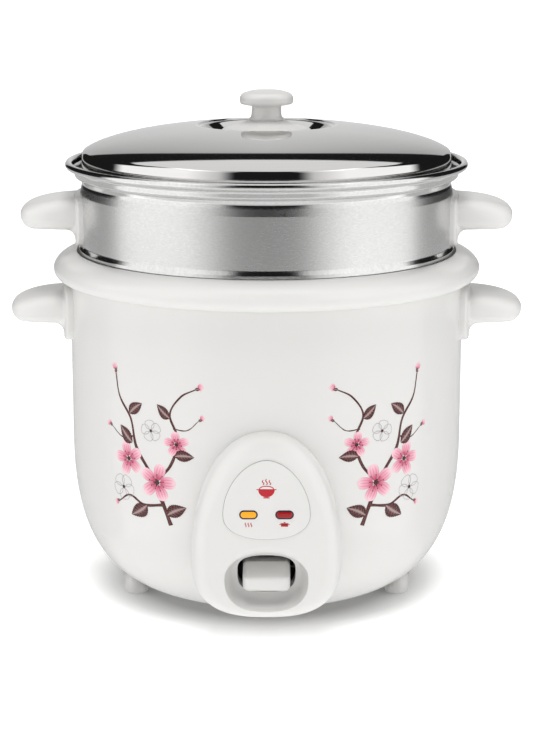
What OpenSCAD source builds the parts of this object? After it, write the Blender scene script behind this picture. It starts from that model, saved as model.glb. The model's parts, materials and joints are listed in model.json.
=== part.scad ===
// Drum rice cooker with an inner pot, a steamer tray and a domed lid.
// Millimetres. +Z is up, the control housing faces -Y, and the feet stand on Z = 0 around the Z axis.

/* [Body] */
// Outside radius of the drum
body_r = 119.5; // [117:0.5:122]
// Height where the drum starts to round in towards its base
belly_top = 97.7; // [90:0.1:104]
// Radius of the round stretch of the base
belly_r = 62.2; // [58:0.1:66]
// Height of the round stretch of the base
belly_h = 95.2; // [86:0.1:95.5]
// Squareness of the base curve, 2 is an ellipse
belly_n = 2.535; // [2.3:0.005:2.7]
// Thickness of the drum's sheet
shell_t = 1.2; // [0.8:0.1:1.5]
// Height of the drum's top edge
shell_top = 197; // [196:0.5:198]

/* [Collar] */
// Outside radius of the collar at its widest
collar_r = 129.4; // [127:0.1:131]
// Radius of the collar's mouth
mouth_r = 115.2; // [114.8:0.1:115.8]
// Height of the collar's top edge
collar_top = 209; // [208:0.5:210]

/* [Inner pot] */
// Outside radius of the pot
pot_r = 107.5; // [105:0.5:108]
// Height of the pot's underside
pot_bottom = 66; // [65.9:0.05:66.2]
// Radius of the pot's bottom corner
pot_corner = 20; // [14:1:26]

/* [Steamer] */
// Outside radius of the steamer's wall
steamer_r = 112.5; // [112.3:0.1:112.7]
// Height of the rolled rim's centre
rim_z = 261; // [260:0.5:262]
// Radius to the outside of the rolled rim
rim_r = 121.2; // [120.5:0.1:122]
// Number of rings of holes in the steamer's floor
hole_rings = 4; // [2:1:4]

/* [Lid] */
// Radius of the lid's straight skirt
lid_r = 111.2; // [110.8:0.1:111.4]
// Height of the dome at its middle
dome_top = 285.5; // [284:0.5:288]
// Radius of the dish under the knob
dish_r = 40; // [36:1:42]
// Radius of the knob's cap
knob_r = 16; // [14:0.2:18]
// Height of the whole cooker
total_h = 304.5; // [302:0.5:306]

/* [Handles] */
// Distance from the axis to the tips of the body's handles
handle_tip = 155.6; // [150:0.2:160]
// Width of a handle's grip
grip_w = 56; // [50:1:60]

/* [Controls] */
// Half width of the control housing
housing_w = 42.8; // [41:0.2:44]
// Distance from the axis to the housing's front face
front_y = 132; // [131:0.5:133]
// Angle that the lever turns from warm to cook
lever_turn = 6; // [5:0.5:6]

/* [Hidden] */

$fn = 96;
gap = 0.3;

white = [0.89, 0.885, 0.87];
steel = [0.72, 0.72, 0.74];
alloy = [0.78, 0.78, 0.8];
black = [0.12, 0.12, 0.13];

// Base and feet
base_z = 5.6;
base_t = 1.4;
base_r = 76;
foot_r = 7.2;
foot_h = 14.5;
foot_places = [[80, -33], [-80, -33], [61, 61], [-61, 61]];
base_screw_r = 71;

// Rim stack: the pot's flange stands on the collar's ledge and the steamer on the pot's flange
ledge_z = 203.5;
ledge_r = 110.8;
pot_t = 1.2;
flange_r = 114.4;
flange_z = ledge_z + gap;
steamer_z = flange_z + pot_t + gap;
steamer_t = 0.8;
nest_r = 104;
floor_z = 199.5;
step_z = 252.6;
upper_r = 115.6;
rim_tube = 2.2;
foot_ring_r = 113.8;
foot_ring_z = 210.8;
foot_ring_top = 213.6;
hole_r = 2.6;
hole_pitch = 22;

// Lid and knob
lid_t = 0.8;
dish_z = 276;
base_rim_r = 27.2;
stem_r = 10.8;
stem_z = 286.6;
knob_screw_r = 2.2;
knob_screw_top = 295;

// Liner and heating plate
liner_r = 111.4;
liner_t = 0.8;
liner_z = 50;
liner_top = 201;
liner_hole_r = 58;
plate_top = pot_bottom - gap;
plate_z = 54;
plate_r = 72;
element_r = 46;
element_wire = 4;
element_z = 52.5;
standoff_r = 65;

// Thermostat and magnet stack on the axis
cap_r = 17.5;
cap_t = 1.2;
cap_z = 48;
guide_r = 17.8;
guide_t = 1.7;
guide_z = 36;
guide_floor = 1.6;
ferrite_r = 13;
ferrite_h = 5;
rod_r = 4.8;
rod_z = 20;
stop_z = 22.5;
stop_h = 1.5;

// Lever
pivot_y = -70;
pivot_z = 38;
pin_r = 2;
pin_fit = 0.05;
ear_x = 8.5;
ear_t = 2;
arm_y = -pivot_y;
magnet_rise = arm_y * lever_turn * PI / 180;
magnet_h = 6;
magnet_z = plate_top - cap_t - ferrite_h - 0.1 - magnet_rise - magnet_h;
holder_t = 1.2;

// Control housing, in the X-Z plane
housing_z = 50;
housing_up = 74;
housing_down = 35;
fascia_z = 79;
fascia_w = 24.4;
fascia_t = 1;
recess_z = 41;
recess_w = 23.8;
recess_up = 15.9;
recess_down = 19.2;
recess_depth = 13;
lamp_x = 10.1;
lamp_z = 79;
lens_w = 4.7;
lens_h = 2.1;
paddle_w = 13.5;
slot_w = 16.9;
slot_low = 29.5;
slot_mid = 38.3;
slot_high = 51;
wall = 2;
boss_r = 4;

// Rear inlet
inlet_z = 38;
inlet_w = 13.7;
inlet_h = 10;
inlet_back = 115;
inlet_screw_y = 105.8;

// Handles
body_grip_z = 173;
body_grip_top = 184.8;
body_grip_under = 164.7;
body_plate = [155.5, 189];
steamer_grip_z = 231;
steamer_grip_top = 242.7;
steamer_grip_under = 221.5;
steamer_plate = [212.5, 243.4];
steamer_tip = 148.8;
tip_r = 8.5;
root_r = 8;
root_gap = 5.5;
grip_n = 2.6;
plan_n = 3.2;
handle_plate_t = 4.5;
handle_screw_y = 17;

// ---- Helpers ----

// Points on a round stretch about c, from angle a0 to angle a1
function arc(c, r, a0, a1, n = 8) = [for (i = [0:n])
    let (a = a0 + (a1 - a0) * i / n) c + r * [cos(a), sin(a)]];

// Direction to the left of the line from p to q
function left_of(p, q) = [p[1] - q[1], q[0] - p[0]] / norm(q - p);

// A path moved sideways by t, to its left
function beside(path, t) = let (last = len(path) - 1)
    [for (i = [0:last]) path[i] + t * left_of(path[max(i - 1, 0)], path[min(i + 1, last)])];

// A path read from its end to its start
function back(path) = [for (i = [len(path) - 1:-1:0]) path[i]];

// Round sheet metal: a path turned about the Z axis, with its thickness to the left of the path
module spun(path, t) rotate_extrude() polygon(concat(path, back(beside(path, t))));

// Sign and size of a power that keeps its sign
function spow(v, n) = sign(v) * pow(abs(v), n);

// Closed egg outline: half width w, reaching up above zc and down below it, with a squareness for each half
function egg(w, zc, up, down, n_up, n_down, steps = 48) =
    [for (i = [0:steps - 1]) let (a = 360 * i / steps, n = sin(a) >= 0 ? n_up : n_down)
        [w * spow(cos(a), 2 / n), zc + (sin(a) >= 0 ? up : down) * spow(sin(a), 2 / n)]];

// Outline drawn in X-Z, as a slab from y0 to y1
module slab(outline, y0, y1)
    translate([0, y1, 0]) rotate([90, 0, 0]) linear_extrude(y1 - y0) polygon(outline);

// Side view drawn in Y-Z, as a slab of width w centred on X = 0
module side_view(outline, w)
    translate([-w / 2, 0, 0]) rotate([90, 0, 90]) linear_extrude(w) polygon(outline);

// Block with its low corner at a and its high corner at b
module block(a, b) translate(a) cube(b - a);

// Cylinders along X and Y that start at p
module rod_x(p, r, h) translate(p) rotate([0, 90, 0]) cylinder(r = r, h = h);
module rod_y(p, r, h) translate(p) rotate([-90, 0, 0]) cylinder(r = r, h = h);

// Ring of a round wire about the Z axis
module torus(R, r, z) translate([0, 0, z]) rotate_extrude() translate([R, 0]) circle(r, $fn = 32);

// Coil spring of mean radius R from z0 to z1
module coil(R, wire, z0, z1, turns, sides = 8, per_turn = 24) {
    n = round(turns * per_turn);
    rings = [for (i = [0:n]) let (a = 360 * i / per_turn, z = z0 + wire + (z1 - z0 - 2 * wire) * i / n)
        for (j = [0:sides - 1]) let (b = 360 * j / sides, q = R + wire * cos(b))
            [q * cos(a), q * sin(a), z + wire * sin(b)]];
    tube_faces(rings, n, sides);
}

// Closes rings of points into one tube
module tube_faces(rings, n, sides) {
    walls = [for (i = [0:n - 1]) for (j = [0:sides - 1]) let (k = (j + 1) % sides)
        [i * sides + j, i * sides + k, (i + 1) * sides + k, (i + 1) * sides + j]];
    first_end = [for (j = [sides - 1:-1:0]) j];
    last_end = [for (j = [0:sides - 1]) n * sides + j];
    polyhedron(rings, concat(walls, [first_end, last_end]));
}

// Wire of radius r through the points of path, with a ring at each point
module wire(path, r, sides = 8) {
    n = len(path) - 1;
    rings = [for (i = [0:n])
        let (d = path[min(i + 1, n)] - path[max(i - 1, 0)], t = d / norm(d),
            s = cross(t, [0.31, 0.17, 0.93]), u = s / norm(s), v = cross(u, t))
        for (j = [0:sides - 1]) path[i] + r * (cos(360 * j / sides) * u + sin(360 * j / sides) * v)];
    tube_faces(rings, n, sides);
}

// Same piece at left and right
module both_sides() {
    children();
    mirror([1, 0, 0]) children();
}

// ---- Body ----

// Outer line of the drum's base, from the wall down to the flat bottom
function belly(t) = [body_r - belly_r + belly_r * pow(cos(t), 2 / belly_n),
    belly_top - belly_h * pow(sin(t), 2 / belly_n)];
flat_angle = asin(pow((belly_top - base_z) / belly_h, belly_n / 2));
belly_path = [for (i = [0:14]) belly(flat_angle * pow(i / 14, 1.15))];

// Drum filled to the axis, grown by g
module drum_solid(g = 0) rotate_extrude()
    polygon(concat([[0, shell_top], [body_r + g, shell_top]], beside(belly_path, g), [[0, base_z - g]]));

module feet_at() for (p = foot_places) translate([p[0], p[1], 0]) children();

module base_screws_at() for (a = [90, 210, 330]) rotate(a) translate([base_screw_r, 0, 0]) children();

module body_shell() color(white) difference() {
    spun(concat([[body_r, shell_top]], belly_path, [[64, base_z]]), -shell_t);
    block([-18, -140, 22], [18, -90, 54]);
    block([-22, -140, 69], [22, -100, 92]);
    block([-15, 90, inlet_z - 11], [15, 140, inlet_z + 11]);
    feet_at() cylinder(r = 1.6, h = 30);
    base_screws_at() cylinder(r = 1.6, h = 12);
    both_sides() handle_screw_lines(body_grip_z) rod_x([100, 0, 0], 1.8, 40);
    housing_screws_at() rod_y([0, -140, 0], 1.5, 60);
    inlet_screws_at() rod_y([0, 90, 0], 1.5, 60);
}

module collar() color(white) rotate_extrude() polygon(concat(
    [for (i = [0:10]) [mouth_r + (collar_r - mouth_r) * pow(sin(9 * i), 2 / 1.8),
        199 + (collar_top - 199) * pow(cos(9 * i), 2 / 1.8)]],
    [for (i = [1:6]) [122 + (collar_r - 122) * cos(15 * i), 199 - 6.7 * sin(15 * i)]],
    [[body_r, 192.3], [body_r, shell_top], [116, shell_top], [116, liner_top], [ledge_r, liner_top],
        [ledge_r, ledge_z], [mouth_r, ledge_z]]));

module base_plate() color(steel) difference() {
    translate([0, 0, base_z - base_t]) cylinder(r = base_r, h = base_t);
    base_screws_at() cylinder(r = 1.6, h = 12);
    for (a = [0:30:330]) rotate(a) block([34, -1.5, 0], [54, 1.5, 12]);
}

module screw_up(r, head_r, head_h, length) {
    cylinder(r = head_r, h = head_h);
    cylinder(r = r, h = length);
}

module base_screws() color(steel) base_screws_at()
    translate([0, 0, base_z - base_t - 1.8]) screw_up(1.6, 3, 1.8, 8);

module feet() color(white) difference() {
    feet_at() cylinder(r1 = foot_r, r2 = foot_r + 0.8, h = foot_h);
    drum_solid();
    feet_at() translate([0, 0, -1]) cylinder(r = 1.6, h = 30);
    feet_at() translate([0, 0, -1]) cylinder(r = 3.6, h = 5);
}

module foot_screws() color(steel) feet_at() translate([0, 0, 2]) screw_up(1.6, 3, 2, 14);

module inner_liner() color(alloy) difference() {
    spun(concat([[115.6, liner_top - liner_t], [liner_r, liner_top - liner_t]],
        arc([liner_r - 12, liner_z + 12], 12, 0, -90), [[liner_hole_r, liner_z]]), -liner_t);
    plate_screws_at() cylinder(r = 1.5, h = 60);
}

// ---- Heating ----

module plate_screws_at() for (a = [90, 210, 330]) rotate(a) translate([standoff_r, 0, 0]) children();

module heating_plate() color(alloy) difference() {
    rotate_extrude() polygon(concat([[18.5, plate_z], [plate_r, plate_z]],
        arc([plate_r - 3, plate_top - 3], 3, 0, 90), [[18.5, plate_top]]));
    torus(element_r, element_wire, element_z);
    plate_screws_at() cylinder(r = 1.5, h = 61);
}

module heating_element() color(steel) {
    torus(element_r, element_wire, element_z);
    for (x = [-9, 9]) translate([x, 45, 38]) cylinder(r = 1.5, h = element_z - element_wire + 1.5 - 38);
}

module plate_standoffs() color(steel) plate_screws_at() difference() {
    translate([0, 0, liner_z + liner_t]) cylinder(r = 4, h = plate_z - liner_z - liner_t);
    cylinder(r = 1.5, h = 60);
}

module plate_screws() color(steel) plate_screws_at()
    translate([0, 0, liner_z - 2]) screw_up(1.5, 3, 2, 12);

module keep_warm_heater() color("dimgray") difference() {
    translate([0, 0, 120]) cylinder(r = liner_r + 2, h = 22);
    translate([0, 0, 119]) cylinder(r = liner_r, h = 24);
    block([-6, -130, 119], [6, 0, 143]);
}

module thermal_fuse() color(steel) rod_x([-11, 34, 51.6], 2.2, 22);

module thermostat_guide() color(steel) rotate_extrude() polygon([
    [rod_r + 0.4, guide_z], [guide_r + guide_t, guide_z], [guide_r + guide_t, plate_z - 1.6],
    [26, plate_z - 1.6], [26, plate_z], [guide_r, plate_z], [guide_r, guide_z + guide_floor],
    [rod_r + 0.4, guide_z + guide_floor]]);

module thermostat_cap() color(alloy) rotate_extrude() polygon([
    [0, plate_top], [cap_r - 1, plate_top], [cap_r, plate_top - 1], [cap_r, cap_z],
    [cap_r - cap_t, cap_z], [cap_r - cap_t, plate_top - cap_t], [0, plate_top - cap_t]]);

module ferrite_disc() color(black) translate([0, 0, plate_top - cap_t - ferrite_h])
    cylinder(r = ferrite_r, h = ferrite_h);

module thermostat_spring() color(steel)
    coil(16.6, 0.6, guide_z + guide_floor + 0.1, cap_z - 0.1, 4);

module magnet() color(black) translate([0, 0, magnet_z]) cylinder(r = 11.5, h = magnet_h);

module magnet_holder() color(steel) rotate_extrude() polygon([
    [0, rod_z], [2.2, rod_z], [rod_r, stop_z], [8.5, stop_z], [8.5, stop_z + stop_h],
    [rod_r, stop_z + stop_h], [rod_r, magnet_z - holder_t], [12.7, magnet_z - holder_t],
    [12.7, magnet_z + 3], [11.5, magnet_z + 3], [11.5, magnet_z], [0, magnet_z]]);

module magnet_spring() color(steel) coil(6.6, 0.5, stop_z + stop_h + 0.1, guide_z - 0.1, 4);

// ---- Lever ----

// Side view of the paddle, cut by a front view with round lower corners
module lever_paddle() color(white) intersection() {
    side_view(concat(
        arc([-124.5, 33.6], 3.4, 270, 180, 6), arc([-124.5, 36], 3.4, 180, 128, 5),
        [[-117.5, 45.6]], arc([-113.6, 44.2], 4, 118, 90, 3),
        [[-106, 48.2], [-106, 37.6], [-120.6, 37.6], [-122.4, 30.6]]), 2 * paddle_w);
    slab(concat([[-paddle_w, 50]], arc([-paddle_w + 3.4, 33.6], 3.4, 180, 270, 5),
        arc([paddle_w - 3.4, 33.6], 3.4, 270, 360, 5), [[paddle_w, 50]]), -130, -100);
}

module lever_arm() color(steel) difference() {
    union() {
        side_view([[-106, 39.2], [-106, 42.2], [-78, 40.4], [-66, 40.2], [-14, rod_z - 0.4],
            [6, rod_z - 0.4], [6, rod_z - 2.8], [-16, rod_z - 2.8], [-68, 35.8], [-78, 37.4]], 10);
        rod_x([-ear_x + 1.5, pivot_y, pivot_z], 4.6, 2 * ear_x - 3);
    }
    rod_x([-20, pivot_y, pivot_z], pin_r + pin_fit, 40);
}

module lever_bracket() color(steel) difference() {
    union() {
        for (x = [-ear_x - ear_t, ear_x]) block([x, pivot_y - 8, 33], [x + ear_t, pivot_y + 8, liner_z]);
        block([-ear_x - ear_t, pivot_y - 8, liner_z - 1.6], [ear_x + ear_t, pivot_y + 8, liner_z]);
    }
    rod_x([-20, pivot_y, pivot_z], pin_r, 40);
}

module pivot_pin() color(steel) rod_x([-ear_x - ear_t, pivot_y, pivot_z], pin_r, 2 * (ear_x + ear_t));

module microswitch() color(black) {
    block([ear_x + ear_t, pivot_y - 2, 34], [ear_x + ear_t + 6.5, pivot_y + 18, 45]);
    for (y = [2, 8, 14]) block([13, pivot_y + y, 28], [16, pivot_y + y + 0.8, 34]);
}

// ---- Controls ----

housing_line = egg(housing_w, housing_z, housing_up, housing_down, 2.1, 2.7);
fascia_line = egg(fascia_w, fascia_z, 31.2, 14.5, 1.85, 2.25);
recess_line = egg(recess_w, recess_z, recess_up, recess_down, 2, 2);

// Outline drawn smaller by the share s, about the middle of the housing
function shrunk(line, s) = [for (p = line) [p[0] * s, housing_z + (p[1] - housing_z) * s]];

// Depth of each layer of the housing from the axis, and its size as a share of the full outline
housing_layers = [[80, 1], [119, 1], [123, 0.985], [126.5, 0.955],
    [129.3, 0.905], [131.2, 0.845], [front_y, 0.77]];

// Rounded block of the housing, set in by i all round
module housing_block(i) {
    k = 1 - i / housing_w;
    rings = [for (layer = back(housing_layers)) for (p = shrunk(housing_line, layer[1] * k))
        [p[0], i - layer[0], p[1]]];
    tube_faces(rings, len(housing_layers) - 1, len(housing_line));
}

module housing_screws_at() for (x = [-30, 30]) translate([x, 0, 72]) children();

module stadium(w, h, y0, y1) hull() for (x = [-(w - h) / 2, (w - h) / 2])
    rod_y([x, y0, 0], h / 2, y1 - y0, $fn = 32);

module lens_places() for (x = [-lamp_x, lamp_x]) translate([x, 0, lamp_z]) children();

module lens_windows() lens_places() block([-lens_w, -140, -lens_h], [lens_w, -120, lens_h]);

module control_housing() color(white) difference() {
    union() {
        difference() {
            housing_block(0);
            housing_block(wall);
        }
        intersection() {
            housing_block(0);
            union() {
                slab(egg(recess_w + wall, recess_z, recess_up + wall, recess_down + wall, 2, 2),
                    -front_y, -front_y + recess_depth + wall);
                housing_screws_at() rod_y([0, -front_y, 0], boss_r, 30);
            }
        }
    }
    drum_solid(0.02);
    slab(recess_line, -front_y - 1, -front_y + recess_depth);
    block([-slot_w, -140, slot_mid], [slot_w, -90, slot_high]);
    block([-paddle_w - 0.6, -140, slot_low], [paddle_w + 0.6, -90, slot_mid + 1]);
    slab(fascia_line, -front_y - 1, -front_y + fascia_t);
    lens_windows();
    housing_screws_at() rod_y([0, -126, 0], 1.5, 46);
}

module fascia_plate() color(white) difference() {
    slab(fascia_line, -front_y, -front_y + fascia_t);
    lens_windows();
}

module lens(x) translate([x, 0, lamp_z])
    block([-lens_w, -front_y - 0.3, -lens_h], [lens_w, -front_y + 4, lens_h]);

module warm_lens() color("orange") lens(-lamp_x);

module cook_lens() color("darkred") lens(lamp_x);

module signal_lamps() color("white") lens_places() rod_y([0, -front_y + 5, 0], 2, 9);

module lamp_holder() color(black) {
    block([-17, -front_y + 14, 74], [17, -front_y + 16, 84]);
    for (x = [-17, 15]) block([x, -front_y + wall, 77], [x + 2, -front_y + 14, 81]);
}

// Each screw goes from inside the drum forward into a boss of the housing
module housing_screws() color(steel) housing_screws_at() {
    rod_y([0, -124, 0], 1.5, 13.5);
    rod_y([0, -112.1, 0], 3, 2);
}

// ---- Rear inlet ----

module inlet_screws_at() for (x = [-20, 20]) translate([x, 0, inlet_z]) children();

module inlet_housing() color(white) difference() {
    block([-25, 90, inlet_z - 17], [25, front_y, inlet_z + 17]);
    drum_solid(0.02);
    block([-inlet_w, 80, inlet_z - inlet_h], [inlet_w, 140, inlet_z + inlet_h]);
    inlet_screws_at() rod_y([0, 90, 0], 1.5, 32);
}

module inlet_socket() color(black) difference() {
    block([-inlet_w, 103, inlet_z - inlet_h], [inlet_w, front_y - 0.5, inlet_z + inlet_h]);
    block([-12, inlet_back, inlet_z - 8.2], [12, 140, inlet_z + 8.2]);
    pin_blocks();
}

// Two outer blades below the earth blade
module pin_blocks() for (p = [[-7, -3], [7, -3], [0, 1.5]])
    block([p[0] - 1, 96, inlet_z + p[1] - 1.5], [p[0] + 1, inlet_back + 13, inlet_z + p[1] + 1.5]);

module inlet_pins() color(steel) pin_blocks();

module inlet_screws() color(steel) inlet_screws_at() {
    rod_y([0, inlet_screw_y, 0], 1.5, 16);
    rod_y([0, inlet_screw_y - 2, 0], 3, 2);
}

module terminal_block() color("ivory") difference() {
    block([30, 30, base_z + base_t], [60, 44, 20]);
    for (x = [35, 45, 55]) rod_y([x, 20, 14], 1.6, 40);
}

// Points on a smooth bend from a to d, leaving towards b and arriving from c
function bend(a, b, c, d, n = 10) = [for (i = [0:n]) let (t = i / n, s = 1 - t)
    s * s * s * a + 3 * s * s * t * b + 3 * s * t * t * c + t * t * t * d];

module wiring() {
    color("saddlebrown") wire(bend([-7, 95.5, 35], [-7, 80, 35], [35, 70, 14], [35, 45, 14]), 1.4);
    color("olivedrab") wire(bend([0, 95.5, 39.5], [0, 82, 39.5], [45, 76, 14], [45, 45, 14]), 1.4);
    color("royalblue") wire(bend([7, 95.5, 35], [7, 86, 35], [55, 84, 14], [55, 45, 14]), 1.4);
    color("white") wire(bend([35, 29, 14], [35, 16, 14], [9, 45, 18], [9, 45, 37.5]), 1.4);
    color("white") wire(bend([45, 29, 14], [45, 0, 14], [14.5, -40, 12], [14.5, -59.6, 27.5]), 1.4);
    color("white") wire(bend([55, 29, 14], [70, -30, 14], [60, -110, 30], [14, -115.2, 79]), 1.2);
}

// ---- Handles ----

// Children at the two screw places of a handle whose grip is centred at z
module handle_screw_lines(z) for (y = [-handle_screw_y, handle_screw_y])
    translate([0, y, z]) children();

// Grip: side view cut by a plan view, both with round corners. The underside leaves the plate in a
// hollow curve, runs flat to a round tip, and the top is a quarter of a superellipse.
module grip(x0, tip, top, under, z_low) {
    reach = tip - x0;
    nose_z = under + tip_r;
    side = concat(
        [[x0, z_low]],
        arc([x0 + root_gap + root_r, under - root_r], root_r, 180, 90, 5),
        arc([tip - tip_r, nose_z], tip_r, -90, 0, 6),
        [for (a = [11.25:11.25:90]) [x0 + reach * pow(cos(a), 2 / grip_n),
            nose_z + (top - nose_z) * pow(sin(a), 2 / grip_n)]]);
    plan = [for (a = [-90:7.5:90])
        [x0 + reach * spow(cos(a), 2 / plan_n), grip_w / 2 * spow(sin(a), 2 / plan_n)]];
    intersection() {
        slab(side, -grip_w, grip_w);
        linear_extrude(total_h) polygon(plan);
    }
}

// Plate that lies on a round wall of radius r, with rounded corners
module wall_plate(r, t, zs, w) intersection() {
    difference() {
        translate([0, 0, zs[0]]) cylinder(r = r + t, h = zs[1] - zs[0]);
        translate([0, 0, zs[0] - 1]) cylinder(r = r, h = zs[1] - zs[0] + 2);
    }
    rotate([90, 0, 90]) linear_extrude(r + 40) polygon(
        [for (i = [0:47]) let (a = 7.5 * i) [w / 2 * spow(cos(a), 0.5),
            (zs[0] + zs[1]) / 2 + (zs[1] - zs[0]) / 2 * spow(sin(a), 0.5)]]);
}

module body_handle() difference() {
    union() {
        wall_plate(body_r, handle_plate_t, body_plate, 64);
        difference() {
            grip(112, handle_tip, body_grip_top, body_grip_under, body_plate[0] + 0.5);
            translate([0, 0, 140]) cylinder(r = body_r + 1, h = 60);
        }
    }
    handle_screw_lines(body_grip_z) rod_x([100, 0, 0], 1.8, 36);
}

module body_handle_right() color(white) body_handle();

module body_handle_left() color(white) mirror([1, 0, 0]) body_handle();

module body_handle_screws() color(steel) both_sides() handle_screw_lines(body_grip_z) {
    rod_x([115, 0, 0], 1.8, 20);
    rod_x([113.4, 0, 0], 3.2, 1.6);
}

module steamer_handle() difference() {
    union() {
        wall_plate(steamer_r, 3.5, steamer_plate, 58);
        difference() {
            grip(105.5, steamer_tip, steamer_grip_top, steamer_grip_under, steamer_plate[0] + 0.5);
            translate([0, 0, 200]) cylinder(r = steamer_r + 1, h = 60);
        }
    }
    translate([0, 0, foot_ring_z]) cylinder(r1 = foot_ring_r + 0.02, r2 = steamer_r + 0.02,
        h = foot_ring_top - foot_ring_z);
    handle_screw_lines(steamer_grip_z) rod_x([90, 0, 0], 1.8, 36);
}

module steamer_handle_right() color(white) steamer_handle();

module steamer_handle_left() color(white) mirror([1, 0, 0]) steamer_handle();

module steamer_rivets() color(steel) both_sides() handle_screw_lines(steamer_grip_z) {
    rod_x([109, 0, 0], 1.8, 17);
    rod_x([107.6, 0, 0], 4, 1.8);
}

// ---- Pot, steamer and lid ----

module inner_pot() color(alloy) spun(concat([[0, pot_bottom]],
    arc([pot_r - pot_corner, pot_bottom + pot_corner], pot_corner, -90, 0, 10),
    [[pot_r, flange_z - 1.5], [pot_r + 1.5, flange_z], [flange_r, flange_z]]), pot_t);

module steamer_floor_holes() {
    translate([0, 0, floor_z - 5]) cylinder(r = 3, h = 20);
    for (ring = [1:hole_rings]) let (n = 8 * ring)
        for (i = [0:n - 1]) rotate(360 * (i + ring / 2) / n)
            translate([hole_pitch * ring, 0, floor_z - 5]) cylinder(r = hole_r, h = 20);
}

module steamer_tray() color(steel) difference() {
    union() {
        spun(concat([[0, floor_z]], arc([nest_r - 3, floor_z + 3], 3, -90, 0, 4),
            [[nest_r, steamer_z], [113.4, steamer_z], [foot_ring_r, 207], [foot_ring_r, foot_ring_z],
                [steamer_r, foot_ring_top], [steamer_r, 243.7], [111.4, 250.2], [112.3, step_z],
                [upper_r, step_z + 1.6], [upper_r, 258.4], [rim_r - 2.6, rim_z - 1.2]]), steamer_t);
        torus(rim_r - rim_tube, rim_tube, rim_z);
    }
    steamer_floor_holes();
    both_sides() handle_screw_lines(steamer_grip_z) rod_x([90, 0, 0], 1.8, 40);
}

// Outer line of the dome: an ellipse from the dish's edge out to the skirt
dome_low = 263.7;
dome_w = 113.9;
function dome(r) = dome_low + (dome_top - dome_low) * pow(1 - pow(r / dome_w, 1.94), 1 / 1.94);

module lid_shell() color(steel) difference() {
    dish = [[0, dish_z], [28, dish_z], [33, dish_z + 0.8],
        [dish_r - 2, dome(dish_r) - 1.1], [dish_r + 1.5, dome(dish_r)]];
    shoulder = [for (a = [10:10:90])
        let (r = dish_r + (lid_r - 1.6 - dish_r) * sin(a)) [r, dome(r)]];
    skirt = [[lid_r, 267.2], [lid_r, 256.4], [lid_r + 0.7, 255.5], [lid_r + 3.1, 255.3]];
    spun(concat(dish, shoulder, skirt), -lid_t);
    cylinder(r = knob_screw_r, h = total_h);
}

module knob_base() color(white) difference() {
    rotate_extrude() polygon(concat([[0, dish_z]],
        arc([base_rim_r - 2.2, dish_z + 2.2], 2.2, -90, 0, 4),
        arc([base_rim_r - 2.4, dish_z + 3], 2.4, 0, 62, 4),
        [[20, 283.4], [14, 285.4], [stem_r, stem_z], [0, stem_z]]));
    cylinder(r = knob_screw_r, h = total_h);
}

module lid_knob() color(white) difference() {
    cap_z0 = total_h - 8.9;
    stem = [[0, stem_z], [stem_r, stem_z], [9.3, 288.2], [8.8, 290.6], [8.8, cap_z0 - 0.9],
        [9.8, cap_z0]];
    edge = concat(arc([knob_r - 2.6, cap_z0 + 2.6], 2.6, -90, 0, 5),
        arc([knob_r - 4.2, total_h - 5], 4.2, 0, 66, 6));
    crown = [[8, total_h - 0.3], [4, total_h], [0, total_h]];
    rotate_extrude() polygon(concat(stem, edge, crown));
    cylinder(r = knob_screw_r, h = knob_screw_top + 3);
}

// Screw up into the knob, with its washer under the lid's dish
module knob_screw() color(steel) {
    under = dish_z - lid_t;
    translate([0, 0, under - 1.7]) cylinder(r = 7, h = 1.7);
    translate([0, 0, under - 3.5]) cylinder(r = 4, h = 1.8);
    translate([0, 0, under - 2.8]) cylinder(r = knob_screw_r, h = knob_screw_top - under + 2.8);
}

// ---- Draw ----

body_shell();
collar();
base_plate();
base_screws();
feet();
foot_screws();
inner_liner();
heating_plate();
heating_element();
plate_standoffs();
plate_screws();
keep_warm_heater();
thermal_fuse();
thermostat_guide();
thermostat_cap();
ferrite_disc();
thermostat_spring();
magnet();
magnet_holder();
magnet_spring();
lever_paddle();
lever_arm();
lever_bracket();
pivot_pin();
microswitch();
control_housing();
fascia_plate();
warm_lens();
cook_lens();
signal_lamps();
lamp_holder();
housing_screws();
inlet_housing();
inlet_socket();
inlet_pins();
inlet_screws();
terminal_block();
wiring();
body_handle_left();
body_handle_right();
body_handle_screws();
inner_pot();
steamer_tray();
steamer_handle_left();
steamer_handle_right();
steamer_rivets();
lid_shell();
knob_base();
lid_knob();
knob_screw();
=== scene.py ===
# %% [markdown]
# # A drum rice cooker, dressed around its working model
# The working model already holds every part at its real size: drum, pot, steamer, lid, lever and what is
# inside. This notebook gives those parts their visible surfaces and finishes. Most of the cooker was made
# on a lathe or a press, so most of it is a profile turned about one upright axis.

# %% Load the working model
import json

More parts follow.
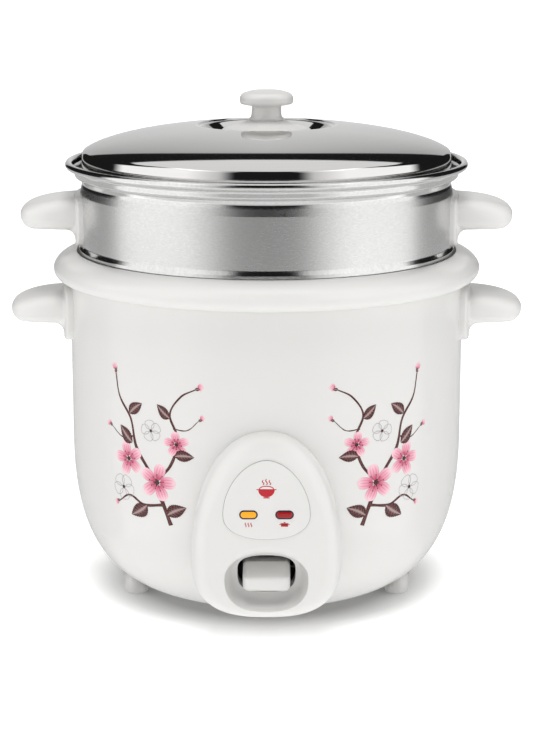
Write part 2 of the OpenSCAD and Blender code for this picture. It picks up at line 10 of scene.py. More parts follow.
import bpy
import numpy as np
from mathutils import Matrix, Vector


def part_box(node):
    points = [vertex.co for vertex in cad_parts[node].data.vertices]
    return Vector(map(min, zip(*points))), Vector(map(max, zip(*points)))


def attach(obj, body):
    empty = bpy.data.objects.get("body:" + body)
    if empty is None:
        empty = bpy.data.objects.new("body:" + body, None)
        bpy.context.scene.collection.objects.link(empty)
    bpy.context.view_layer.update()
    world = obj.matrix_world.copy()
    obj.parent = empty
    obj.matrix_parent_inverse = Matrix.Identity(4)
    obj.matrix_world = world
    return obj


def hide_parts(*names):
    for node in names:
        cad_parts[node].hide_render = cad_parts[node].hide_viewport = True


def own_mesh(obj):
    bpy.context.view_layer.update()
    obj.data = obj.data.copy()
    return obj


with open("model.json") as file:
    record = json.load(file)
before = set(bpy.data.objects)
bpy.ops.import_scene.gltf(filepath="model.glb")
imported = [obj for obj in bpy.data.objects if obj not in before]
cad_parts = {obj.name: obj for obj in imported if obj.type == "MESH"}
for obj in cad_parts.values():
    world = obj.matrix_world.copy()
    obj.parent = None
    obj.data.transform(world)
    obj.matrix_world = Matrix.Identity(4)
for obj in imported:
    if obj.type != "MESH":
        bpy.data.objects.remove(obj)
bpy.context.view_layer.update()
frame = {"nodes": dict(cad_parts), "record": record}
nodes = frame["nodes"]
MM = 0.001
TAU = 2 * np.pi

# %% [markdown]
# The camera looks slightly down at the front from 1.2 m away, as a shop would show a cooker. It is made
# first so that every later look is from the same place.

# %% Camera
CAMERA_DISTANCE = 1.2
CAMERA_HEIGHT = 0.4028
CAMERA_PITCH = np.radians(12.796)
CAMERA_LENS = 95.98


def add_object(name, data):
    """Puts data into the scene under a plain name."""
    thing = bpy.data.objects.new(name, data)
    bpy.context.scene.collection.objects.link(thing)
    return thing


camera_data = bpy.data.cameras.new("shop_camera")
camera_data.lens = CAMERA_LENS
camera_data.clip_end = 100.0
camera = add_object("shop_camera", camera_data)
camera.location = (0.0, -CAMERA_DISTANCE, CAMERA_HEIGHT)
camera.rotation_euler = (np.pi / 2 - CAMERA_PITCH, 0.0, 0.0)
bpy.context.scene.camera = camera
bpy.context.scene.view_settings.view_transform = "Standard"
print("camera", round(np.degrees(CAMERA_PITCH), 1), "degrees down")

# %% [markdown]
# ## Surfaces from arrays
# Every new piece below is a grid of points: rows run along a profile, columns run round it. A grid can be
# closed either way, and a row that shrinks to one point becomes a pole. Working the points out as whole
# arrays keeps the shape a formula that can be read.


# %% A mesh from a grid of points
def signed_volume(points, faces):
    """Six times the volume inside the faces, negative where they point inwards."""
    a, b, c, d = (points[faces[:, k]] for k in range(4))
    return np.einsum("ij,ij->", a, np.cross(b, c) + np.cross(c, d))


def grid_piece(name, grid, close_rows=False, close_columns=True, keep=None, flip=None, crisp=None):
    """Joins neighbouring points of a rows x columns x 3 grid, given in millimetres, with four-sided faces.
    keep(centres) says which faces stay. Faces are turned to point outwards by the sign of their volume."""
    rows, columns = grid.shape[:2]
    index = np.arange(rows * columns).reshape(rows, columns)
    pole = np.ptp(grid, axis=1).max(axis=1) < 1e-6
    index[pole] = index[pole][:, :1]
    down = np.roll(index, -1, axis=0) if close_rows else index[1:]
    up = index if close_rows else index[:-1]
    right_up = np.roll(up, -1, axis=1) if close_columns else up[:, 1:]
    right_down = np.roll(down, -1, axis=1) if close_columns else down[:, 1:]
    if not close_columns:
        up, down = up[:, :-1], down[:, :-1]
    faces = np.stack([up, right_up, right_down, down], -1).reshape(-1, 4)
    points = grid.reshape(-1, 3) * MM
    if keep is not None:
        faces = faces[keep(points[faces].mean(axis=1) / MM)]
    if flip is None:
        flip = signed_volume(points, faces) < 0
    if flip:
        faces = faces[:, ::-1]
    used, renumbered = np.unique(faces, return_inverse=True)
    faces = renumbered.reshape(faces.shape)
    clean = [list(dict.fromkeys(face)) for face in faces.tolist()]
    mesh = bpy.data.meshes.new(name)
    mesh.from_pydata(points[used].tolist(), [], [face for face in clean if len(face) > 2])
    mesh.shade_smooth()
    if crisp is not None:
        mesh.set_sharp_from_angle(angle=np.radians(crisp))
    mesh.update()
    return add_object(name, mesh)


def join_pieces(name, pieces):
    """Joins meshes into the first of them."""
    first = pieces[0]
    with bpy.context.temp_override(
        active_object=first, object=first, selected_editable_objects=pieces, selected_objects=pieces
    ):
        bpy.ops.object.join()
    first.name = name
    return first


def at_depth(outline, y):
    """Puts an outline (x, z) at depth y, one number or one for each point."""
    return np.c_[outline[:, 0], np.broadcast_to(y, len(outline)), outline[:, 1]]


# %% Profiles with round corners
def rounded(corners, steps=8):
    """A line through corners (r, z, radius). Each inner corner becomes an arc that touches both of its
    sides, as far from the corner as radius / tan(half the angle between the sides)."""
    corners = [tuple(corner) + (0.0,) * (3 - len(corner)) for corner in corners]
    line = [corners[0][:2]]
    for before, here, after in zip(corners, corners[1:], corners[2:]):
        p = np.array(here[:2])
        a, b = np.array(before[:2]) - p, np.array(after[:2]) - p
        reach_a, reach_b = np.linalg.norm(a), np.linalg.norm(b)
        a, b = a / reach_a, b / reach_b
        half = np.arccos(np.clip(a @ b, -1, 1)) / 2
        if here[2] == 0 or half > 1.55:
            line.append(here[:2])
            continue
        reach = min(here[2] / np.tan(half), 0.48 * reach_a, 0.48 * reach_b)
        radius = reach * np.tan(half)
        centre = p + (a + b) / np.linalg.norm(a + b) * radius / np.sin(half)
        start, end = p + a * reach - centre, p + b * reach - centre
        turn = np.arctan2(start[0] * end[1] - start[1] * end[0], start @ end)
        for angle in np.linspace(0, turn, steps + 1):
            c, s = np.cos(angle), np.sin(angle)
            line.append(tuple(centre + [c * start[0] - s * start[1], s * start[0] + c * start[1]]))
    line.append(corners[-1][:2])
    return np.array(line)


def sheet_wall(line, thickness):
    """A closed outline round a line: the line, a half circle at its end, the line moved sideways by the
    thickness, and a half circle back to its start. A positive thickness lies to the line's left."""
    step = np.gradient(line, axis=0)
    step /= np.linalg.norm(step, axis=1)[:, None]
    left = np.stack([-step[:, 1], step[:, 0]], 1)
    inner = line + thickness * left
    bow = np.linspace(-np.pi / 2, np.pi / 2, 7)[1:-1, None]
    middle_end, middle_start = (line[-1] + inner[-1]) / 2, (line[0] + inner[0]) / 2
    half = abs(thickness) / 2
    side = np.sign(thickness)
    end = middle_end + half * (np.cos(bow) * step[-1] + side * np.sin(bow) * left[-1])
    start = middle_start - half * (np.cos(bow) * step[0] + side * np.sin(bow) * left[0])
    if line[0, 0] < 1e-6:
        return np.vstack([line, end, inner[::-1]])
    return np.vstack([line, end, inner[::-1], start])


def turned(name, outline, segments=256, closed=True, **options):
    """Turns an outline (r, z) about the upright axis: x = r cos(a), y = r sin(a)."""
    outline = np.asarray(outline)
    angle = np.arange(segments) / segments * TAU
    r, z = outline[:, :1], np.repeat(outline[:, 1:], segments, axis=1)
    grid = np.stack([r * np.cos(angle), r * np.sin(angle), z], -1)
    starts_on_axis = outline[0, 0] < 1e-6
    return grid_piece(name, grid, close_rows=closed and not starts_on_axis, **options)


def signed_power(value, power):
    """A power that keeps the value's sign, for superellipses."""
    return np.sign(value) * np.abs(value) ** power


print("surface helpers ready")

# %% [markdown]
# ## Finishes
# Six finishes make the cooker: off-white enamel and plastic with a slight orange-peel skin, mirror-polished
# steel, satin steel with fine turned lines, spun aluminium, zinc-plated steel and matt black plastic.
# Effects that several finishes share are node groups with named sockets, so that each finish only states
# its own values. A group puts out masks, values and normals. The shader itself stays in each finish.


# %% Helpers for node groups and finishes
def new_group(name, inputs, outputs):
    """A shader node group: {input name: its usual number} and output names. Normal is a vector."""
    group = bpy.data.node_groups.new(name, "ShaderNodeTree")
    for socket, usual in inputs.items():
        made = group.interface.new_socket(socket, in_out="INPUT", socket_type="NodeSocketFloat")
        made.default_value = usual
    for socket in outputs:
        kind = "NodeSocketVector" if socket == "Normal" else "NodeSocketFloat"
        group.interface.new_socket(socket, in_out="OUTPUT", socket_type=kind)
    return group, group.nodes.new("NodeGroupInput"), group.nodes.new("NodeGroupOutput")


def feed(tree, socket, value):
    """Gives an input socket its value: a link from another socket, or a plain number or colour."""
    if isinstance(value, bpy.types.NodeSocket):
        tree.links.new(value, socket)
    elif isinstance(value, tuple) and len(value) == 3:
        socket.default_value = (*value, 1.0)
    else:
        socket.default_value = value


def feed_all(tree, node, **values):
    """Feeds a node's input sockets by name, with spaces written as _."""
    for key, value in values.items():
        feed(tree, node.inputs[key.replace("_", " ")], value)


def add_node(tree, kind, settings=None, **values):
    """Adds a node with its own settings and the values of its input sockets."""
    made = tree.nodes.new(kind)
    for key, value in (settings or {}).items():
        setattr(made, key, value)
    feed_all(tree, made, **values)
    return made


def maths(tree, operation, a, b=0.0, c=None):
    """One Math node, with sockets or plain numbers for its inputs."""
    made = add_node(tree, "ShaderNodeMath", {"operation": operation})
    for socket, value in zip(made.inputs, (a, b) if c is None else (a, b, c)):
        feed(tree, socket, value)
    return made.outputs[0]


def spread(tree, value, low, high, to_low=0.0, to_high=1.0, smooth=False):
    """Maps a value from low..high to to_low..to_high, held at both ends."""
    made = add_node(
        tree, "ShaderNodeMapRange", Value=value, From_Min=low, From_Max=high, To_Min=to_low, To_Max=to_high
    )
    if smooth:
        made.interpolation_type = "SMOOTHSTEP"
    return made.outputs["Result"]


def mix_colour(tree, factor, a, b):
    """Mixes two colours, each a socket or a plain colour."""
    made = add_node(tree, "ShaderNodeMix", {"data_type": "RGBA"}, Factor=factor)
    feed(tree, made.inputs[6], a)
    feed(tree, made.inputs[7], b)
    return made.outputs[2]


def product(tree, *factors):
    """Multiplies sockets or numbers together."""
    total = factors[0]
    for factor in factors[1:]:
        total = maths(tree, "MULTIPLY", total, factor)
    return total


def noise(tree, place, scale, detail, roughness=0.5):
    """The value of a noise at a place."""
    made = add_node(tree, "ShaderNodeTexNoise", Vector=place, Scale=scale, Detail=detail, Roughness=roughness)
    return made.outputs["Fac"]


def bumped(tree, height, strength, distance):
    """The normal over a relief."""
    made = add_node(tree, "ShaderNodeBump", Height=height, Strength=strength, Distance=distance)
    return made.outputs["Normal"]


def object_place(tree):
    """The point's own place on its object."""
    return tree.nodes.new("ShaderNodeTexCoord").outputs["Object"]


def new_finish(name, colour, roughness, **fixed):
    """A material with one Principled shader. Values that are the same all over are set on its sockets."""
    made = bpy.data.materials.new(name)
    made.use_nodes = True
    made.diffuse_color = (*colour, 1.0)
    tree = made.node_tree
    shader = tree.nodes["Principled BSDF"]
    feed_all(tree, shader, Base_Color=colour, Roughness=roughness, **fixed)
    return made, tree, shader


def place_group(tree, group, **values):
    """Places a shared effect in a finish with its own values."""
    made = tree.nodes.new("ShaderNodeGroup")
    made.node_tree = group
    feed_all(tree, made, **values)
    return made


# %% [markdown]
# **Moulded skin.** Glossy enamel and moulded plastic are never quite flat. Paint pulls into a faint orange
# peel a few millimetres across, and plastic shows flow and sink. Two noises, one wide and one fine, drive
# a bump, a slight change of gloss and a very slight change of tone.

# %% Group: moulded skin
skin, skin_in, skin_out = new_group(
    "moulded_skin",
    {"Peel size": 260.0, "Peel height": 0.03, "Gloss low": 0.16, "Gloss high": 0.24},
    ("Tone", "Roughness", "Normal"),
)
place = object_place(skin)
peel = noise(skin, place, skin_in.outputs["Peel size"], 2.0, 0.45)
broad = noise(skin, place, 14.0, 3.0)
gloss_ends = (skin_in.outputs["Gloss low"], skin_in.outputs["Gloss high"])
feed_all(
    skin,
    skin_out,
    Tone=spread(skin, broad, 0.2, 0.8),
    Roughness=spread(skin, broad, 0.2, 0.8, *gloss_ends),
    Normal=bumped(skin, peel, skin_in.outputs["Peel height"], 0.0004),
)
print("moulded_skin:", [socket.name for socket in skin_in.outputs][:-1])

# %% [markdown]
# **Turned lines.** A spun or brushed metal sheet carries fine scratches that run round its axis. They are
# a noise stretched round the axis: the noise reads the distance from the axis and the height at full size,
# and the angle hardly at all. The group gives a line mask, a wide cloudy mask and a normal.

# %% Group: turned lines
lines, lines_in, lines_out = new_group(
    "turned_lines",
    {"Line size": 900.0, "Line height": 0.12, "Round stretch": 0.02},
    ("Lines", "Clouds", "Normal"),
)
place = object_place(lines)
split = lines.nodes.new("ShaderNodeSeparateXYZ")
lines.links.new(place, split.inputs[0])
x, y, z = split.outputs
size = lines_in.outputs["Line size"]
radius = maths(lines, "SQRT", maths(lines, "ADD", product(lines, x, x), product(lines, y, y)))
round_scale = product(lines, size, lines_in.outputs["Round stretch"])
height = maths(lines, "ADD", z, product(lines, radius, 1.7))
stretched = add_node(
    lines,
    "ShaderNodeCombineXYZ",
    X=product(lines, x, round_scale),
    Y=product(lines, y, round_scale),
    Z=product(lines, height, size),
)
scratch = noise(lines, stretched.outputs[0], 1.0, 4.0, 0.7)
feed_all(
    lines,
    lines_out,
    Lines=spread(lines, scratch, 0.3, 0.7),
    Clouds=spread(lines, noise(lines, place, 9.0, 4.0, 0.55), 0.3, 0.7),
    Normal=bumped(lines, scratch, lines_in.outputs["Line height"], 0.0002),
)
print("turned_lines:", [socket.name for socket in lines_in.outputs][:-1])


# %% [markdown]
# **Off-white enamel and plastic.** The drum is drawn sheet with a baked enamel, and the collar, handles,
# housing, feet and knob are moulded in the same off-white. A thin clear coat gives the sharp highlight
# over a slightly softer base.


# %% Moulded and enamelled finishes
def moulded(name, colour, dark, gloss_low, gloss_high, peel_height=0.15, size=900.0, **fixed):
    """A moulded or painted finish: two close tones, a grain and a range of gloss."""
    made, tree, shader = new_finish(name, colour, gloss_low, **fixed)
    group = place_group(
        tree, skin, Peel_size=size, Peel_height=peel_height, Gloss_low=gloss_low, Gloss_high=gloss_high
    )
    feed_all(
        tree,
        shader,
        Base_Color=mix_colour(tree, group.outputs["Tone"], dark, colour),
        Roughness=group.outputs["Roughness"],
        Normal=group.outputs["Normal"],
    )
    return made


OFF_WHITE = (0.69, 0.683, 0.668)
OFF_WHITE_SHADE = tuple(channel * 0.99 for channel in OFF_WHITE)
CLEAR_COAT = {"Coat_Weight": 0.35, "Coat_Roughness": 0.06}
enamel = moulded("white_enamel", OFF_WHITE, OFF_WHITE_SHADE, 0.20, 0.28, 0.05, 260.0, **CLEAR_COAT)
moulding = moulded("white_moulding", OFF_WHITE, OFF_WHITE_SHADE, 0.26, 0.36, 0.03, 260.0, **CLEAR_COAT)
print("off-white finishes:", enamel.name, moulding.name)

# %% [markdown]
# **Metals.** The lid is polished until it mirrors the room, with hairline polishing marks and a few dull
# smudges. The steamer is satin: a fine grain that scatters the light. Its wall is polished above and
# below the straight band, so its roughness follows the height. The pot is spun aluminium.


# %% Metal finishes
def turned_metal(name, bright, dull, rough_low, rough_high, size, height, stretch=0.02, **fixed):
    """A metal whose colour and roughness follow the turned lines and the cloudy mask."""
    made, tree, shader = new_finish(name, bright, rough_low, Metallic=1.0, **fixed)
    group = place_group(tree, lines, Line_size=size, Line_height=height, Round_stretch=stretch)
    clouds = product(tree, group.outputs["Clouds"], 0.4)
    mask = maths(tree, "MULTIPLY_ADD", group.outputs["Lines"], 0.6, clouds)
    feed_all(
        tree,
        shader,
        Base_Color=mix_colour(tree, mask, bright, dull),
        Roughness=spread(tree, mask, 0.0, 1.0, rough_low, rough_high),
        Normal=group.outputs["Normal"],
    )
    return made


MIRROR = (0.035, 0.075, 700, 0.006)
mirror_steel = turned_metal("mirror_steel", (0.80, 0.79, 0.78), (0.74, 0.735, 0.73), *MIRROR)
bright_rim = turned_metal("burnished_rim", (0.86, 0.86, 0.85), (0.76, 0.76, 0.75), 0.14, 0.22, 1100, 0.04)
spun_alloy = turned_metal("spun_aluminium", (0.80, 0.80, 0.81), (0.66, 0.66, 0.67), 0.22, 0.38, 800, 0.16)
cast_alloy = turned_metal("cast_aluminium", (0.62, 0.62, 0.63), (0.45, 0.45, 0.46), 0.35, 0.55, 500, 0.35)
zinc_plate = turned_metal("zinc_plate", (0.62, 0.62, 0.60), (0.48, 0.48, 0.45), 0.30, 0.48, 300, 0.10, 0.8)
nickel = turned_metal("nickelled_brass", (0.78, 0.70, 0.48), (0.60, 0.52, 0.34), 0.22, 0.36, 900, 0.10)
SATIN = (0.24, 0.34, 1500, 0.12, 0.3)
satin_steel = turned_metal("satin_steel", (0.84, 0.84, 0.83), (0.64, 0.64, 0.635), *SATIN)
banded_steel = turned_metal("banded_steel", (0.84, 0.84, 0.83), (0.66, 0.66, 0.655), *SATIN)
BURNISHED = 0.11
BAND_TOP = (0.2475, 0.2495)
BAND_FOOT = (0.2125, 0.2145)
tree = banded_steel.node_tree
shader = tree.nodes["Principled BSDF"]
place = tree.nodes.new("ShaderNodeSeparateXYZ")
tree.links.new(object_place(tree), place.inputs[0])
above = spread(tree, place.outputs[2], *BAND_TOP)
beneath = spread(tree, place.outputs[2], *BAND_FOOT, 1.0, 0.0)
satin = shader.inputs["Roughness"].links[0].from_socket
burnish = add_node(
    tree,
    "ShaderNodeMix",
    {"data_type": "FLOAT"},
    Factor=maths(tree, "MAXIMUM", above, beneath),
    A=satin,
    B=BURNISHED,
)
feed_all(tree, shader, Roughness=burnish.outputs["Result"])
print("metals:", mirror_steel.name, satin_steel.name, spun_alloy.name)

# %% [markdown]
# **Small finishes.** Black plastic, ivory terminal plastic, sintered magnets, mica, wire sleeves and the
# two lamp lenses use the moulded skin with their own colours.


# %% Small finishes
black_plastic = moulded("black_plastic", (0.022, 0.022, 0.024), (0.012, 0.012, 0.013), 0.42, 0.56)
ivory_plastic = moulded("ivory_plastic", (0.70, 0.65, 0.50), (0.62, 0.57, 0.43), 0.40, 0.52)
sintered = moulded("sintered_ferrite", (0.045, 0.045, 0.05), (0.025, 0.025, 0.03), 0.55, 0.75, 0.5, 1500.0)
mica = moulded("mica_band", (0.34, 0.31, 0.26), (0.22, 0.20, 0.17), 0.45, 0.65, 0.4, 400.0)
sleeve = moulded("wire_sleeve", (0.62, 0.60, 0.56), (0.50, 0.48, 0.45), 0.45, 0.60, 0.3, 1200.0)
amber = moulded("amber_lens", (0.93, 0.42, 0.015), (0.84, 0.34, 0.008), 0.10, 0.18, 0.05, Coat_Weight=0.6)
red = moulded("red_lens", (0.34, 0.003, 0.005), (0.26, 0.002, 0.004), 0.10, 0.18, 0.05, Coat_Weight=0.6)
navy = moulded("navy_border", (0.020, 0.014, 0.030), (0.012, 0.008, 0.020), 0.20, 0.30)
red_ink = moulded("red_ink", (0.50, 0.012, 0.022), (0.42, 0.008, 0.016), 0.25, 0.35, 0.02)
lamp_glass, tree, shader = new_finish("lamp_glass", (0.95, 0.90, 0.82), 0.05, Transmission_Weight=0.9)
group = place_group(tree, skin, Peel_height=0.05, Gloss_low=0.03, Gloss_high=0.08)
feed_all(tree, shader, Roughness=group.outputs["Roughness"], Normal=group.outputs["Normal"])
print("small finishes ready")


# %% [markdown]
# Every part of the working model that stays on show gets its finish here, by what it is made of.

# %% Finishes of the parts that stay
PARTS_BY_FINISH = (
    (
        zinc_plate,
        "base_plate base_screws foot_screws heating_element plate_standoffs plate_screws thermal_fuse "
        "thermostat_guide thermostat_spring magnet_holder magnet_spring lever_arm lever_bracket pivot_pin "
        "housing_screws inlet_screws body_handle_screws knob_screw",
    ),
    (spun_alloy, "inner_liner thermostat_cap"),
    (cast_alloy, "heating_plate"),
    (mica, "keep_warm_heater"),
    (sintered, "ferrite_disc magnet"),
    (black_plastic, "microswitch lamp_holder inlet_socket"),
    (lamp_glass, "signal_lamps"),
    (nickel, "inlet_pins"),
    (ivory_plastic, "terminal_block"),
    (sleeve, "wiring"),
    (bright_rim, "steamer_rivets"),
)


def dress(piece, finish):
    """Gives a piece one finish."""
    piece.data.materials.clear()
    piece.data.materials.append(finish)


for finish, parts in PARTS_BY_FINISH:
    for part in parts.split():
        dress(nodes[part], finish)


# %% [markdown]
# The two coil springs inside are pressed together as the lever or the thermostat moves in the real cooker.
# Here each gets a copy of its mesh that stays with the cooker in place of the part.

# %% Springs
for part, joint, fixed_end, keep in (
    ("magnet_spring", "cook_lever_press", 0.0360, 0.37),
    ("thermostat_spring", "thermostat_press", 0.0376, 0.60),
):
    spring = add_object(part.replace("_spring", "_coil"), nodes[part].data.copy())
    spring.matrix_world = nodes[part].matrix_world
    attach(spring, "cooker")
    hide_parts(part)
    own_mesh(spring)


# %% Standing in for a part
def stands_for(piece, part, finish):
    """Lets a finished surface stand for one part: it gets the finish, takes the part's body, and the part is
    hidden.
    """
    dress(piece, finish)
    body = next(name for name, members in frame["record"]["behaviour"]["bodies"].items() if part in members)
    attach(piece, body)
    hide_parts(part)
    print(piece.name, "stands for", part, "with", len(piece.data.polygons), "faces")


def extra(piece, finish):
    """Adds a visible piece that stands for no part and stays with the cooker."""
    dress(piece, finish)
    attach(piece, "cooker")
    return piece


# %% [markdown]
# ## The drum
# A press draws the drum from one sheet: a straight wall that rounds in towards a flat base. Turning one
# formula keeps the long highlight on it clean, where a bevelled cylinder would show its joints. The curve is
# a superellipse, r = R - a + a cos(t)^(2/n) and z = top - b sin(t)^(2/n), squarer than a circle. The
# sheet has a real thickness, and a window at the front that the control housing covers.

# %% Drum
low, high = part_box("body_shell")
DRUM_R = high.x / MM
DRUM_TOP = high.z / MM
BASE_Z = low.z / MM
DRUM_SHEET = 1.2
MOULDING_SINK = 0.8
BELLY_R = 62.2
BELLY_TOP = 97.7
BELLY_H = 95.2
BELLY_N = 2.535
WINDOWS = ((-1, 18, 39, 15), (-1, 18, 81, 11), (1, 15, 38, 11))


def belly_line(steps=48):
    """The drum's outer line from the wall's foot to the flat base."""
    flat = np.arcsin(((BELLY_TOP - BASE_Z) / BELLY_H) ** (BELLY_N / 2))
    t = flat * np.linspace(0, 1, steps) ** 1.15
    r = DRUM_R - BELLY_R + BELLY_R * np.cos(t) ** (2 / BELLY_N)
    return np.stack([r, BELLY_TOP - BELLY_H * np.sin(t) ** (2 / BELLY_N)], 1)


def drum_radius(z):
    """The drum's outer radius at a height, from its belly line."""
    line = belly_line(400)
    return np.where(z > BELLY_TOP, DRUM_R, np.interp(-np.asarray(z, float), -line[:, 1], line[:, 0]))


def outside_windows(centres):
    """Leaves out the faces behind the housing and behind the rear inlet, where the sheet is cut away."""
    x, y, z = centres.T
    cut = np.zeros(len(x), bool)
    for facing, half_x, middle_z, half_z in WINDOWS:
        cut |= (facing * y > 0) & (np.abs(x) < half_x) & (np.abs(z - middle_z) < half_z)
    return ~cut


wall = np.stack([np.full(40, DRUM_R), np.linspace(DRUM_TOP, BELLY_TOP + 2, 40)], 1)
drum_line = np.vstack([wall, belly_line(), [[72, BASE_Z], [64, BASE_Z]]])
drum = turned("drum", sheet_wall(drum_line, -DRUM_SHEET), keep=outside_windows, flip=False)
stands_for(drum, "body_shell", enamel)


# %% [markdown]
# **Collar.** A fat moulded ring caps the drum and carries the pot. A plain torus would look like a tyre,
# because the real section leans inwards. So the section above its widest line is a quarter superellipse,
# and below it a quarter ellipse tucks back to the drum.

# %% Collar
low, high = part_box("collar")
COLLAR_R = high.x / MM
COLLAR_TOP = high.z / MM
WIDEST_Z = 199.0
MOUTH_R = 115.2
LEDGE_R = 110.8
LEDGE_Z = 203.5


def quarter(start_r, end_r, start_z, end_z, power, steps):
    """A quarter superellipse: r moves as sin(a)^(2/power) and z as cos(a)^(2/power)."""
    a = np.linspace(0, np.pi / 2, steps)
    r = start_r + (end_r - start_r) * np.sin(a) ** (2 / power)
    return np.stack([r, end_z + (start_z - end_z) * np.cos(a) ** (2 / power)], 1)


over = quarter(MOUTH_R, COLLAR_R, COLLAR_TOP, WIDEST_Z, 1.8, 30)
under = quarter(122.0, COLLAR_R, WIDEST_Z - 6.7, WIDEST_Z, 2.0, 16)[::-1]
inside = [(DRUM_R, WIDEST_Z - 6.7), (DRUM_R, 197), (116, 197), (116, 201), (LEDGE_R, 201), (LEDGE_R, LEDGE_Z)]
mouth = rounded([(LEDGE_R, LEDGE_Z), (MOUTH_R, LEDGE_Z, 0.4), (MOUTH_R, COLLAR_TOP - 0.8)], 4)
collar_line = np.vstack([over, under[1:], inside, mouth[1:]])
collar = turned("collar_ring", collar_line, crisp=50)
stands_for(collar, "collar", moulding)

# %% [markdown]
# ## The control housing
# One moulding holds the lamps and the lever. Seen from the front it is an egg, a superellipse with a wide
# lower half. Its rim is a quarter circle, so the depth at any point follows from how far out it lies: the
# share s of the egg that passes through the point. The surface then dips into a round bowl and through a
# slot. One grid carries the whole of it: each column is a ray from the egg to the slot.

# %% Outlines of the housing
HOUSING_FRONT = -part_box("control_housing")[0].y / MM
HOUSING_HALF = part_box("control_housing")[1].x / MM
HOUSING_MIDDLE = 50.0
HOUSING_UP = 74.0
HOUSING_DOWN = 35.0
HOUSING_POWERS = (2.1, 2.7)
RIM_DEPTH = 13.0
RIM_SHARE = 0.77
BOWL_MIDDLE = 41.0
BOWL_DEPTH = 13.0


def egg(angle, half, middle, up, down, n_up, n_down):
    """A closed outline (x, z): a superellipse whose height and squareness change at its middle."""
    c, s = np.cos(angle), np.sin(angle)
    n = np.where(s >= 0, n_up, n_down)
    reach = np.where(s >= 0, up, down)
    return np.stack([half * signed_power(c, 2 / n), middle + reach * signed_power(s, 2 / n)], -1)


def egg_share(x, z):
    """How far out a point lies in the housing's egg: 0 at its middle, 1 on its outline."""
    up = z >= HOUSING_MIDDLE
    n = np.where(up, *HOUSING_POWERS)
    reach = np.where(up, HOUSING_UP, HOUSING_DOWN)
    return (np.abs(x / HOUSING_HALF) ** n + np.abs((z - HOUSING_MIDDLE) / reach) ** n) ** (1 / n)


def face_depth(x, z):
    """Depth of the front face: flat inside the rim share, then a quarter circle back to the side wall."""
    t = np.clip((egg_share(x, z) - RIM_SHARE) / (1 - RIM_SHARE), 0, 1)
    return -HOUSING_FRONT + RIM_DEPTH * (1 - np.sqrt(1 - t * t))


def drum_depth(x, z):
    """Depth of the drum's front at a point seen from the front."""
    return -np.sqrt(drum_radius(z) ** 2 - x * x)


print("housing", round(2 * HOUSING_HALF, 1), "mm wide, front at", round(HOUSING_FRONT, 1), "mm")

# %% [markdown]
# The rows of the grid follow the hand of someone who models it: up the side wall, over the rolled rim,
# across the flat face, over the lip of the bowl and down to the slot. Booleans would leave hard seams
# where the bowl meets the face, and one grid stays smooth.

# %% Housing surface
around = np.arange(288) / 288 * TAU
outline = egg(around, HOUSING_HALF, HOUSING_MIDDLE, HOUSING_UP, HOUSING_DOWN, *HOUSING_POWERS)
bowl = egg(around, 23.8, BOWL_MIDDLE, 15.9, 19.6, 2.0, 2.5)
slot = egg(around, 16.6, 42.5, 8.4, 13.2, 2.6, 3.4)
back_y = drum_depth(*outline.T) + MOULDING_SINK
rim_y = RIM_DEPTH - HOUSING_FRONT
floor_y = BOWL_DEPTH - HOUSING_FRONT
rows = [at_depth(outline, back_y + (rim_y - back_y) * t) for t in np.linspace(0, 1, 9)[:-1]]
for t in np.linspace(0, 1, 44) ** 2:
    ring = outline + (bowl - outline) * t
    rows.append(at_depth(ring, face_depth(*ring.T)))
bowl_edge = face_depth(*bowl.T)
LIP = 0.12
for t in np.linspace(0, 1, 34)[1:] ** 1.3:
    roll = 1 - (1 - min(t / LIP, 1.0)) ** 2
    dip = (1 - (1 - t) ** 2.6) ** (1 / 1.45)
    rows.append(at_depth(bowl + (slot - bowl) * t, bowl_edge + (floor_y - bowl_edge) * dip * roll))
rows += [at_depth(slot, floor_y + depth) for depth in (0.4, 1.0, 4.0, 10.0)]
housing = grid_piece("control_cover", np.stack(rows), flip=False)
stands_for(housing, "control_housing", moulding)

# %% [markdown]
# ** Lamp panel.** A thin plate sits in the housing's face. Its rounded edge overhangs a narrow undercut,
# and a grey ring of painted shade shows just outside it; the two draw the fine line round it. The plate
# is a stack of its own outline, each ring smaller and further forward, closed to its middle.


# %% Plates seen from the front
def stamped_plate(name, outline_of, steps, back_y):
    """A plate from rings (inset, forward): outline_of(inset) gives x and z, forward moves towards -Y."""
    rings = [at_depth(outline_of(inset), back_y - forward) for inset, forward in steps]
    middle = rings[-1].mean(axis=0)
    rings += [middle + (rings[-1] - middle) * share for share in (0.8, 0.6, 0.4, 0.2, 0.0)]
    return grid_piece(name, np.stack(rings), flip=False)


def panel_outline(inset):
    """The lamp panel's egg, made smaller all round by inset."""
    return egg(around, 24.4 - inset, 79.0, 31.2 - inset, 14.5 - inset, 1.85, 2.25)


UNDERCUT = 0.5
edge = [(UNDERCUT, -0.3), (UNDERCUT, 0.2), (0.0, 0.26)]
edge += [(0.45 * (1 - np.cos(a)), 0.26 + 0.3 * np.sin(a)) for a in np.linspace(0.2, np.pi / 2, 5)]
# The grey ring just outside the panel is painted shade, standing in for the shadow in the hairline gap.
painted_gap_shade = moulded("painted_gap_shade", (0.31, 0.31, 0.30), (0.27, 0.27, 0.26), 0.5, 0.7)
gap_shade_steps = [(-0.22, -0.3), (-0.22, 0.05), (0.6, 0.06)]
gap_shade = stamped_plate("panel_gap_shade", panel_outline, gap_shade_steps, -HOUSING_FRONT)
extra(gap_shade, painted_gap_shade)
panel = stamped_plate("lamp_panel", panel_outline, edge, -HOUSING_FRONT)
stands_for(panel, "fascia_plate", moulding)
PANEL_FRONT = -HOUSING_FRONT - 0.55

# %% [markdown]
# **Lamp windows.** Two small lozenges of coloured plastic, each with a dark printed border. A lozenge is
# the outline of a straight line widened by a fixed distance: half circles at both ends.


